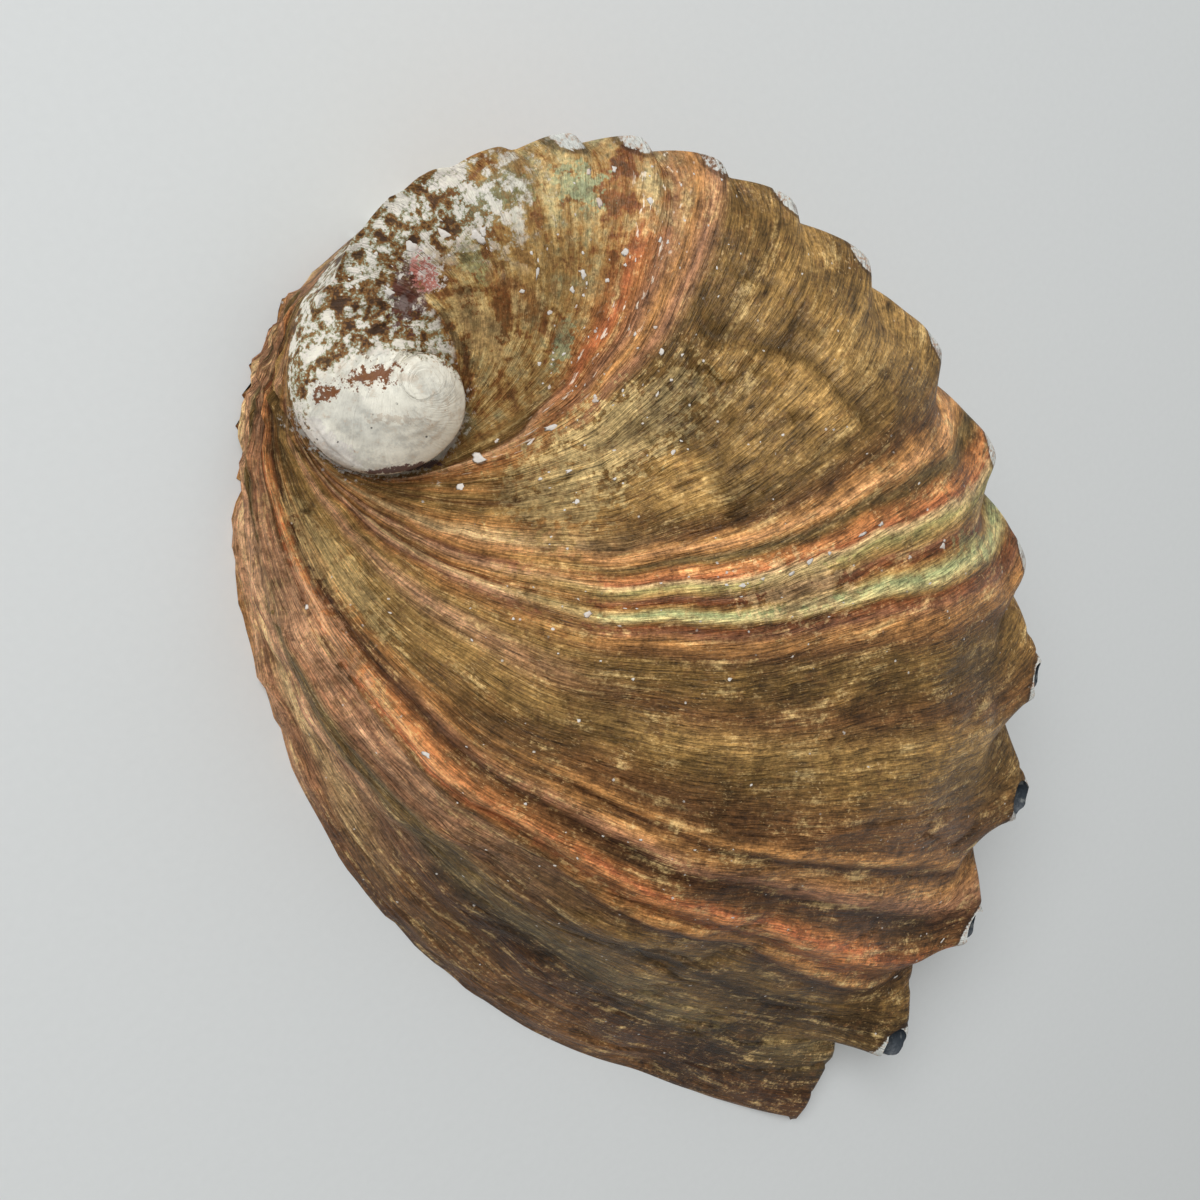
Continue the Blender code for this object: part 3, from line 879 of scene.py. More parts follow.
def turned_over(faces: Sequence[Loop]) -> list[Loop]:
    """The same faces seen from their other side."""
    return [tuple(reversed(face)) for face in faces]


def single_corners(
    faces: Sequence[Loop], zones: Sequence[int], owner: Array
) -> tuple[list[list[int]], list[int], list[int]]:
    """Take out corners that lie on the point of the one before, and faces that fold up by that.

    Args:
        faces: loops of places.
        zones: finish of each face.
        owner: point of each place.

    Returns:
        The points of the faces that stay, their finishes, and the places of all their corners.
    """
    kept, kept_zones, corners = [], [], []
    for face, zone in zip(faces, zones):
        loop = []
        for place in face:
            if not loop or owner[place] != owner[loop[-1]]:
                loop.append(place)
        if len(loop) > 1 and owner[loop[0]] == owner[loop[-1]]:
            loop.pop()
        if len({int(owner[place]) for place in loop}) == len(loop) and len(loop) > 2:
            kept.append(owner[loop].tolist())
            kept_zones.append(zone)
            corners += loop
    return kept, kept_zones, corners


class Zone(Enum):
    """Which finish a face of the shell takes."""

    OUTSIDE = 0
    INSIDE = 1
    SPOUT = 2


@dataclass
class ShellSkin:
    """The whole shell: outer skin with relief, nacre skin, rim and open breathing holes.

    No primitive has the seam of a spiral, so the two skins are woven from the growth law. The
    breathing holes are cut afterwards with rods, as the maker of a cast would drill them.
    """

    growth: Growth
    relief: Relief
    bands: Bands
    outer_step: float = 0.52
    inner_step: float = 2.2
    outer_columns: int = 104
    inner_columns: int = 36
    wall_columns: int = 30
    inner_wall_columns: int = 8
    spire_rows: int = 70
    inner_spire_rows: int = 24
    spire_columns: int = 41
    inner_spire_columns: int = 15
    spire_wall: Sequence[float] = (1.15, 1.35, 1.55, 1.78, 2.0)
    inner_spire_wall: Sequence[float] = (1.3, 1.65, 2.0)
    hole_radius: float = 1.75
    hole_stretch: float = 1.45
    hole_corners: int = 32
    hole_reach_out: float = 6.0
    hole_reach_in: float = 9.0
    wear_lift: float = 0.5
    wear_open: float = 0.2
    wear_closed: float = -1.2
    wear_stretch: float = 1.25
    wear_edge: float = 0.7
    line_length: float = 1.5
    wall_lead: float = 20.0
    crease_angle: float = 48.0

    def stages(self, step: float) -> Array:
        """Stages of the newest turn, evenly spaced along the hole row.

        Args:
            step: millimetres between them.

        Returns:
            The stages, newest first.
        """
        marks = np.linspace(-self.growth.seam_lag, 0.0, 3000)
        path = self.growth.plain(marks, 0.96)
        length = np.concatenate([[0.0], np.cumsum(np.linalg.norm(np.diff(path, axis=0), axis=-1))])
        count = int(length[-1] / step)
        return np.interp(np.linspace(length[-1], 0.0, count), length, marks)

    def columns(self, count: int, wall_count: int) -> Array:
        """Columns from the seam to the wall's foot, closest at the hole row."""
        back = [1 - (1 - k / count) ** 1.2 for k in range(count + 1)]
        return np.array(back + [1 + (k / wall_count) ** 1.15 for k in range(1, wall_count + 1)])

    def raised(self, stage: Array, column: Array) -> Array:
        """Outer surface with its relief.

        Args:
            stage: the stages.
            column: the columns.

        Returns:
            The points.
        """
        stage, column = together(stage, column)
        lead, down = self.growth.lead_and_down(column)
        point = self.growth.outside(stage, column)
        height = self.relief.height(stage, lead, column, down)
        point = point + height[..., None] * self.growth.normal(stage, column)
        point = point + self.growth.spouts(stage, column) * ease(-stage / 3.0)[..., None]
        level = self.growth.spire_tip - self.relief.dome_fall * (point[..., 0] ** 2 + point[..., 1] ** 2)
        calm = self.relief.dome_calm * ease((-stage - self.relief.dome_after) / 60.0)
        point[..., 2] = point[..., 2] * (1 - calm) + level * calm
        edge = 1 - ease(-stage / 2.0)
        wave = self.relief.frill_waves.on(lead, 0.0) + 0.7 * self.relief.fine_frill.on(lead, 0.0)
        away = unit(point * LEVEL)
        frill = self.relief.frill * edge * wave * ease((lead - 12.0) / 20.0) * ease(column / 0.1)
        point = point + away * frill[..., None]
        point[..., 2] = np.maximum(point[..., 2], 0.0)
        return point

    def skin(self, net: Net) -> Skin:
        """Weave one skin whose only edge is the lip and the wall's foot.

        Args:
            net: what it is woven from.

        Returns:
            The skin.
        """
        skin = Skin()
        lag, last, spire_last = self.growth.seam_lag, len(net.columns) - 1, len(net.spire_columns) - 1
        block = net.surface(net.stages[:, None], net.columns[None, :])
        body = [skin.hang(row, stage, net.columns) for row, stage in zip(block, net.stages)]
        skin.owner[body[-1][last]] = skin.owner[body[0][0]]
        skin.weave(body)
        spire = self.spire(skin, net, int(body[-1][0]))

        # Joins between the newest turn and the older ones
        first_row, spire_columns = spire[1][:spire_last], net.spire_columns[:spire_last]
        skin.faces += stitch(body[-1][:last].tolist(), net.columns[:last], first_row, spire_columns)
        wall_chain = [spire[m][spire_last - 1] for m in range(1, net.spire_rows + 1)]
        inner_chain = [int(body[-1][last - 1])] + wall_chain
        seam_chain = [skin.share(int(row[0]), stage - lag, 2.0) for row, stage in zip(body, net.stages)]
        skin.faces += turned_over(
            stitch(inner_chain, np.linspace(0.0, 1.0, len(inner_chain)), seam_chain, -net.stages / lag)
        )
        skin.lip = body[0].tolist()
        skin.foot = [int(row[last]) for row in body]
        return skin

    def spire(self, skin: Skin, net: Net, seam_place: int) -> dict[int, list[int]]:
        """Hang the older turns on a skin, down to the spire's tip.

        Args:
            skin: skin with its newest turn.
            net: what it is woven from.
            seam_place: place at the seam in the newest turn's last row.

        Returns:
            The places of each row, numbered from 1.
        """
        lag, last = self.growth.seam_lag, len(net.spire_columns) - 1
        spacing = lag / net.spire_rows
        count = round((-lag - net.oldest) / spacing)
        stages = -lag - spacing * np.arange(1, count + 1)
        points = net.surface(stages[:, None], net.spire_columns[None, :-1])
        tip = int(skin.hang(net.tip_height * UP, stages[-1], np.array([0.5]))[0])
        tip_columns = max(3, last // 4)
        rows: dict[int, list[int]] = {}
        for m in range(1, count + 1):
            at_tip = tip_columns if m > count - net.spire_rows else 0
            hung = skin.hang(points[m - 1][at_tip:], stages[m - 1], net.spire_columns[at_tip:-1])
            shared = [skin.share(tip, stages[m - 1], net.spire_columns[k]) for k in range(at_tip)]
            rows[m] = shared + hung.tolist()
        for m in range(net.spire_rows, count + 1):
            above = seam_place if m == net.spire_rows else rows[m - net.spire_rows][0]
            rows[m].append(skin.share(above, stages[m - 1], 2.0))
        for m in range(1, count):
            for j in range(last if m >= net.spire_rows else last - 1):
                skin.faces.append((rows[m][j], rows[m][j + 1], rows[m + 1][j + 1], rows[m + 1][j]))
        skin.faces.append(tuple(rows[count]))
        return rows

    def build(self, coats: Sequence[bpy.types.Material]) -> bpy.types.Object:
        """Make the shell's mesh with its growth maps.

        Args:
            coats: finish of each zone.

        Returns:
            The shell as one closed object, its holes not yet cut.
        """
        growth = self.growth
        outer_columns = self.columns(self.outer_columns, self.wall_columns)
        inner_columns = self.columns(self.inner_columns, self.inner_wall_columns)
        outer_stages, inner_stages = self.stages(self.outer_step), self.stages(self.inner_step)
        spire_columns = np.append(np.linspace(0, 1, self.spire_columns), self.spire_wall)
        inner_spire = np.append(np.linspace(0, 1, self.inner_spire_columns), self.inner_spire_wall)
        outer = self.skin(Net(
            self.raised, outer_stages, outer_columns, self.spire_rows, spire_columns,
            growth.oldest, growth.spire_tip,
        ))
        inner = self.skin(Net(
            growth.inside, inner_stages, inner_columns, self.inner_spire_rows, inner_spire,
            growth.inner_oldest, growth.spire_ceiling,
        ))
        for skin in (outer, inner):
            for place in skin.lip + skin.foot:
                skin.points[skin.owner[place]][2] = 0.0

        shift, point_shift = len(outer.stage), len(outer.points)
        faces = list(outer.faces)
        faces += turned_over([tuple(place + shift for place in face) for face in inner.faces])
        zones = [Zone.OUTSIDE.value] * len(outer.faces) + [Zone.INSIDE.value] * len(inner.faces)
        rim = turned_over(stitch(outer.lip, outer_columns, [p + shift for p in inner.lip], inner_columns))
        lag = growth.seam_lag
        rim += turned_over(
            stitch(outer.foot, -outer_stages / lag, [p + shift for p in inner.foot], -inner_stages / lag)
        )
        faces += rim
        zones += [Zone.OUTSIDE.value] * len(rim)
        stage = np.array(outer.stage + inner.stage)
        column = np.array(outer.column + inner.column)
        owner = np.array(outer.owner + [index + point_shift for index in inner.owner])
        placed = self.to_frame(np.array(outer.points + inner.points))
        shell = self.mesh(placed, owner, faces, zones, stage, column)
        for coat in coats:
            shell.data.materials.append(coat)
        return shell

    def to_frame(self, points: Array) -> Array:
        """Turn the shell's length along Y and set it where the solid stands."""
        return points @ np.array(self.growth.turn).T + self.offset

    @cached_property
    def offset(self) -> Array:
        """Place of the spire's axis in the frame, read from the solid's own box.

        Returns:
            The place.
        """
        low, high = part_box(NODE)
        stages = np.linspace(-self.growth.seam_lag, 0.0, 900)
        columns = np.linspace(0.0, 2.0, 90)
        spread = self.growth.outside(stages[:, None], columns[None, :]).reshape(-1, 3)
        spread = spread @ np.array(self.growth.turn).T
        middle = (spread.min(axis=0) + spread.max(axis=0)) / 2
        solid = (np.array(low) + np.array(high)) / (2 * MM)
        return np.array([solid[0] - middle[0], solid[1] - middle[1], 0.0])

    def mesh(
        self, points: Array, owner: Array, faces: Sequence[Loop], zones: Sequence[int], stage: Array,
        column: Array,
    ) -> bpy.types.Object:
        """Make the mesh and write where each corner lies in the growth of the shell.

        Args:
            points: places of the points in the frame, in millimetres.
            owner: point of each place of the net.
            faces: loops of places.
            zones: finish of each face.
            stage: stage of each place.
            column: column of each place.

        Returns:
            The object, linked to the scene.
        """
        kept, kept_zones, corners = single_corners(faces, zones, owner)
        mesh = bpy.data.meshes.new("grown_shell")
        mesh.from_pydata((points * MM).tolist(), [], kept)
        mesh.polygons.foreach_set("material_index", kept_zones)
        lead, down = self.growth.lead_and_down(column)
        along = self.growth.travelled(stage)
        band = self.bands.stage(stage, lead, along)
        across = (1 - np.clip(column, 0.0, 1.0)) * self.line_length * self.growth.radius(stage)
        across = across + down * -smooth(stage, self.growth.row_height)
        wear = self.knob_wear(stage, column)
        low_relief = self.relief.height(stage, lead, column, down)
        valley = np.clip(-self.relief.folds(stage, lead, along) / self.relief.fold_depth, 0.0, 1.0)
        maps = {
            "growth": (band, lead - self.wall_lead * down),
            "length": (along, across),
            "wear": (wear, -stage),
            # The form map carries the fold valleys and relief height that the outside's painted shade is read
            # from.
            "form": (valley, low_relief),
        }
        for name, (u, v) in maps.items():
            layer = mesh.uv_layers.new(name=name)
            pairs = np.stack([u[corners], v[corners]], axis=-1) / MAP_SCALE
            layer.data.foreach_set("uv", pairs.ravel().astype(np.float32))
        mesh.update()
        return linked("grown_shell", mesh)

    def knob_wear(self, stage: Array, column: Array) -> Array:
        """How worn each place is because it lies on the tip of a knob, from 0 to 1.

        Args:
            stage: the stages.
            column: the columns.

        Returns:
            The wear.
        """
        wear, growth = np.zeros_like(stage), self.growth
        row, across = growth.row_beside(stage, column)
        for knob in growth.knob_rows:
            ahead = growth.ahead_of(knob, stage, row)
            wider = self.wear_open if knob.is_open else self.wear_closed + 0.2 * knob.height
            reach = growth.rim_radius + wider + self.wear_edge
            near = ease((reach - np.hypot(ahead / self.wear_stretch, across - self.wear_lift)) / 1.2)
            wear = np.maximum(wear, near * float(ease((knob.height - 1.0) / 1.4)))
        return wear

    def drill(self, shell: bpy.types.Object) -> None:
        """Open the breathing holes with slanted oval rods.

        Args:
            shell: the closed shell.
        """
        growth, rods = self.growth, []
        depth = self.hole_reach_out + self.hole_reach_in
        for knob in [each for each in growth.knob_rows if each.is_open]:
            axis = growth.lean(knob.stage, growth.hole_lean)
            tip = growth.plain(knob.stage, 1.0) + knob.height * growth.lean(knob.stage, growth.knob_lean)
            out = growth.lean(knob.stage, (1.0, 0.0, 0.0))
            centre = tip - out * knob.inset + axis * (self.hole_reach_out - self.hole_reach_in) / 2
            bpy.ops.mesh.primitive_cylinder_add(
                vertices=self.hole_corners, radius=self.hole_radius * MM, depth=depth * MM
            )
            rod = bpy.context.object
            for coat in shell.data.materials:
                rod.data.materials.append(coat)
            rod.data.polygons.foreach_set("material_index", [Zone.SPOUT.value] * len(rod.data.polygons))
            side = unit(np.cross(axis, growth.along_row(knob.stage)))
            basis = Matrix([Vector(np.cross(side, axis)), Vector(side), Vector(axis)]).transposed()
            rod.matrix_world = (
                Matrix.Translation(Vector(self.to_frame(centre) * MM))
                @ (growth.turn @ basis).to_4x4()
                @ Matrix.Diagonal((self.hole_stretch, 1.0, 1.0, 1.0))
            )
            rods.append(rod)
        select_only(rods[0])
        for rod in rods:
            rod.select_set(True)
        bpy.ops.object.join()
        cut = shell.modifiers.new("holes", "BOOLEAN")
        cut.operation = "DIFFERENCE"
        cut.solver = "EXACT"
        cut.object = rods[0]
        select_only(shell)
        bpy.ops.object.modifier_apply(modifier=cut.name)
        bpy.data.objects.remove(rods[0], do_unlink=True)

    def finish(self, shell: bpy.types.Object) -> None:
        """Shade the shell smooth and hand it to the frame.

        Args:
            shell: the drilled shell.
        """
        select_only(shell)
        bpy.ops.object.shade_smooth_by_angle(angle=math.radians(self.crease_angle))
        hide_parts(NODE)
        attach(shell, BODY)


def linked(name: str, content: bpy.types.ID) -> bpy.types.Object:
    """Make an object out of a mesh, lamp or lens and put it in the scene.

    Args:
        name: its name.
        content: the mesh, lamp or lens.

    Returns:
        The object.
    """
    made = bpy.data.objects.new(name, content)
    bpy.context.scene.collection.objects.link(made)
    return made


def select_only(piece: bpy.types.Object) -> None:
    """Select one object and make it the active one.

    Args:
        piece: the object.
    """
    bpy.ops.object.select_all(action="DESELECT")
    piece.select_set(True)
    bpy.context.view_layer.objects.active = piece


# Shader maths


class Graph:
    """The node tree of one material, with one method that adds any node."""

    def __init__(self, name: str) -> None:
        """Start a material with an empty tree.

        Args:
            name: name of the material.
        """
        self.material = bpy.data.materials.new(name)
        self.material.use_nodes = True
        self.tree = self.material.node_tree
        self.tree.nodes.clear()

    def node(
        self, kind: str, settings: dict[str, object] | None = None,
        inputs: dict[str | int, object] | None = None, output: str | int = 0,
    ) -> Value:
        """Add a node.

        Args:
            kind: type of the node without its ShaderNode prefix.
            settings: what is set on the node itself; stops are a ramp's (position, colour) pairs.
            inputs: a value or a link for each socket that is used.
            output: the socket that is wanted.

        Returns:
            The wanted socket.
        """
        made = self.tree.nodes.new("ShaderNode" + kind)
        for key, setting in (settings or {}).items():
            if key == "stops":
                self.set_stops(made.color_ramp, setting)
            else:
                setattr(made, key, setting)
        for key, given in (inputs or {}).items():
            socket = made.inputs[key]
            if isinstance(given, Value):
                self.tree.links.new(given.socket, socket)
            else:
                socket.default_value = given
        return Value(self, made.outputs[output] if made.outputs else None, made)

    def set_stops(self, ramp: bpy.types.ColorRamp, stops: Stops) -> None:
        """Give a colour ramp its stops.

        Args:
            ramp: the ramp.
            stops: its positions and colours.
        """
        while len(ramp.elements) > 1:
            ramp.elements.remove(ramp.elements[-1])
        ramp.elements[0].position = stops[0][0]
        ramp.elements[0].color = opaque(stops[0][1])
        for position, colour in stops[1:]:
            ramp.elements.new(position).color = opaque(colour)

    def ramp(self, stops: Stops, position: Value) -> Value:
        """Colour that a ramp has at a position from 0 to 1."""
        return self.node("ValToRGB", {"stops": stops}, {0: position})

    def place(self) -> Value:
        """Object coordinates in millimetres, as a vector."""
        point = self.node("TexCoord", output="Object")
        return self.node("VectorMath", {"operation": "SCALE"}, {0: point, "Scale": 1 / MM})

    def map(self, name: str) -> tuple[Value, Value]:
        """The two numbers of a growth map, brought back to their full size.

        Args:
            name: name of the map.

        Returns:
            The numbers.
        """
        both = self.node("UVMap", {"uv_map": name})
        parts = self.node("SeparateXYZ", inputs={0: both}).node
        first, second = (Value(self, parts.outputs[number], parts) * MAP_SCALE for number in (0, 1))
        return first, second

    def vector(self, x: Number, y: Number, z: Number = 0.0) -> Value:
        """A vector of three numbers."""
        return self.node("CombineXYZ", inputs={0: x, 1: y, 2: z})

    def noise(
        self, at: Value, scale: float = 1.0, detail: float = 3.0, rough: float = 0.55, bend: float = 0.0
    ) -> Value:
        """Cloudy noise round 0.5 at a vector."""
        inputs = {"Vector": at, "Scale": scale, "Detail": detail, "Roughness": rough, "Distortion": bend}
        return self.node("TexNoise", {"noise_dimensions": "3D"}, inputs)

    def dots(self, at: Value, scale: float, ragged: Value, low: float, high: float) -> Value:
        """Small dots round random points, full within the low distance and gone at the high one."""
        distance = self.node("TexVoronoi", {"feature": "F1"}, {"Vector": at, "Scale": scale}, "Distance")
        return 1.0 - self.rise(distance + ragged, low, high)

    def spread(self, noise: Value, gain: float) -> Value:
        """Noise with its contrast about 0.5 raised, kept between 0 and 1."""
        return self.node("Clamp", inputs={"Value": (noise - 0.5) * gain + 0.5})

    def rise(self, value: Number, low: float, high: float) -> Value:
        """Go smoothly from 0 to 1 while a value goes from low to high."""
        span = {"Value": value, "From Min": low, "From Max": high, "To Min": 0.0, "To Max": 1.0}
        return self.node("MapRange", {"interpolation_type": "SMOOTHSTEP", "clamp": True}, span)

    def mix(self, first: Paint, second: Paint, share: Number) -> Value:
        """Colour that goes from the first to the second as the share goes from 0 to 1.

        Args:
            first: colour at 0.
            second: colour at 1.
            share: share of the second.

        Returns:
            The colour.
        """
        made = self.node("Mix", {"data_type": "RGBA", "clamp_factor": True}, {0: share}).node
        for socket, given in ((made.inputs[6], first), (made.inputs[7], second)):
            if isinstance(given, Value):
                self.tree.links.new(given.socket, socket)
            else:
                socket.default_value = opaque(given)
        return Value(self, made.outputs[2], made)

    def lit(self, colour: Value, gain: Number) -> Value:
        """Colour made lighter or darker."""
        return self.node("VectorMath", {"operation": "SCALE"}, {0: colour, "Scale": gain})

    def tinted(self, colour: Value, tint: Colour) -> Value:
        """Colour seen through a tint."""
        return self.node("VectorMath", {"operation": "MULTIPLY"}, {0: colour, 1: tint})

    def deepened(self, colour: Value, power: float) -> Value:
        """Colour with its dark parts made darker."""
        return self.node("Gamma", inputs={0: colour, 1: power})

    def bump(self, height: Value, distance: float) -> Value:
        """Normal tilted by a height, whose unit is a distance in millimetres."""
        return self.node("Bump", inputs={"Strength": 1.0, "Distance": distance * MM, "Height": height})

    def surface(self, sockets: dict[str | int, object]) -> bpy.types.Material:
        """Close the tree with a Principled shader and return the material."""
        self.node("OutputMaterial", inputs={"Surface": self.node("BsdfPrincipled", inputs=sockets)})
        return self.material


@dataclass(frozen=True)
class Value:
    """One socket of a material, on which arithmetic adds Math nodes."""

    graph: Graph
    socket: object
    node: object

    def math(self, operation: str, first: Number, second: Number = 0.0) -> Value:
        """Add one Math node."""
        return self.graph.node("Math", {"operation": operation}, {0: first, 1: second})

    def __add__(self, other: Number) -> Value:
        """Sum."""
        return self.math("ADD", self, other)

    def __radd__(self, other: Number) -> Value:
        """Sum with the number first."""
        return self.math("ADD", other, self)

    def __sub__(self, other: Number) -> Value:
        """Difference."""
        return self.math("SUBTRACT", self, other)

    def __rsub__(self, other: Number) -> Value:
        """Difference with the number first."""
        return self.math("SUBTRACT", other, self)

    def __mul__(self, other: Number) -> Value:
        """Product."""
        return self.math("MULTIPLY", self, other)

    def __rmul__(self, other: Number) -> Value:
        """Product with the number first."""
        return self.math("MULTIPLY", other, self)

    def __truediv__(self, other: Number) -> Value:
        """Quotient."""
        return self.math("DIVIDE", self, other)

    def above(self, other: Number) -> Value:
        """1 where the value is greater than another one, and 0 elsewhere."""
        return self.math("GREATER_THAN", self, other)

    def size(self) -> Value:
        """The value without its sign."""
        return self.math("ABSOLUTE", self)

    def bigger(self, other: Number) -> Value:
        """The greater of two values."""
        return self.math("MAXIMUM", self, other)


Number = Union[float, Value]


# Colours


class Hue(Enum):
    """Colours of the shell, as they look in even light, from 0 to 255."""

    DARK_OLIVE = (62, 46, 24)
    OLIVE = (112, 90, 54)
    KHAKI = (146, 120, 77)
    # Gold is also laid along the streaks as flecks that are partly painted glints.
    GOLD = (176, 158, 118)
    TAN = (160, 121, 78)
    BROWN = (104, 76, 48)
    DARK_BROWN = (70, 46, 26)
    UMBER = (52, 36, 24)
    RUST = (140, 96, 60)
    DARK_RUST = (112, 70, 40)
    ORANGE = (178, 126, 84)
    ORANGE_RED = (158, 100, 68)
    PEACH = (184, 142, 102)
    TERRACOTTA = (150, 113, 88)
    ROSE_TAN = (176, 141, 114)
    CREAM = (196, 172, 134)
    CREAM_GREEN = (174, 166, 124)
    PALE_GREEN = (150, 144, 100)
    SEAFOAM = (140, 148, 112)
    TURQUOISE = (140, 154, 128)
    GREY_OLIVE = (106, 93, 65)
    MAUVE = (124, 88, 66)
    MAROON = (74, 34, 36)
    PINK_RED = (176, 98, 84)
    OCHRE = (134, 92, 44)
    IVORY = (222, 219, 205)
    PEARL_GREY = (204, 207, 202)
    CHALK = (212, 206, 198)
    CRUST_GREEN = (158, 164, 140)
    SLATE = (70, 78, 86)
    BLACK = (20, 16, 13)

    @property
    def linear(self) -> Colour:
        """The colour as light."""
        parts = [part / 255 for part in self.value]
        return tuple(p / 12.92 if p <= 0.04045 else ((p + 0.055) / 1.055) ** 2.4 for p in parts)


Paint = Union[Value, Hue, Colour]
Stops = Sequence[tuple[float, Union[Hue, Colour]]]


def opaque(colour: Hue | Colour) -> tuple[float, ...]:
    """Red, green, blue and full cover of a hue, or of a colour that is given as light."""
    return (*(colour.linear if isinstance(colour, Hue) else colour), 1.0)


@dataclass(frozen=True)
class Streaks:
    """Noise that is drawn out along the growth lines.

    Attributes:
        along: how fast it changes with each millimetre grown.
        across: how fast it changes with each millimetre of a growth line.
        layer: picks one pattern out of many.
        detail: how many finer patterns are laid over it.
        rough: how strong the finer ones are.
        bend: how far it is bent.
    """

    along: float
    across: float
    layer: float
    detail: float
    rough: float
    bend: float = 0.0

    def on(self, g: Graph, along: Value, across: Value) -> Value:
        """The noise on a surface, by the two numbers of its length map."""
        at = g.vector(along * self.along, across * self.across, self.layer)
        return g.noise(at, 1.0, self.detail, self.rough, self.bend)


@dataclass(frozen=True)
class Blot:
    """One patch of colour that lies at a place of its own.

    Attributes:
        at: centre in the frame, in millimetres.
        size: half lengths of the patch.
        turn: degrees that it is turned about the vertical.
        hue: its colour.
        strength: how much of it covers what lies below.
        ragged: how far noise moves its edge.
        soft: how wide its edge is, as a share of its size.
    """

    at: tuple[float, float, float]
    size: tuple[float, float]
    turn: float
    hue: Hue
    strength: float = 0.9
    ragged: float = 0.8
    soft: float = 0.34


@dataclass(frozen=True)
class Ground:
    """What varies over the outside and is read by several of its markings.

    Lengths are in millimetres, age counts stages back from the newest hole, and the nine fields from
    grain to hairs are noises round 0.5.
    """

    stage: Value
    lead: Value
    along: Value
    across: Value
    wear: Value
    age: Value
    valley: Value
    relief: Value
    point: Value
    grain: Value
    soft_edge: Value
    edge: Value
    cloud: Value
    mottle: Value
    lumps: Value
    streak: Value
    striae: Value
    hairs: Value
    by_row: Value


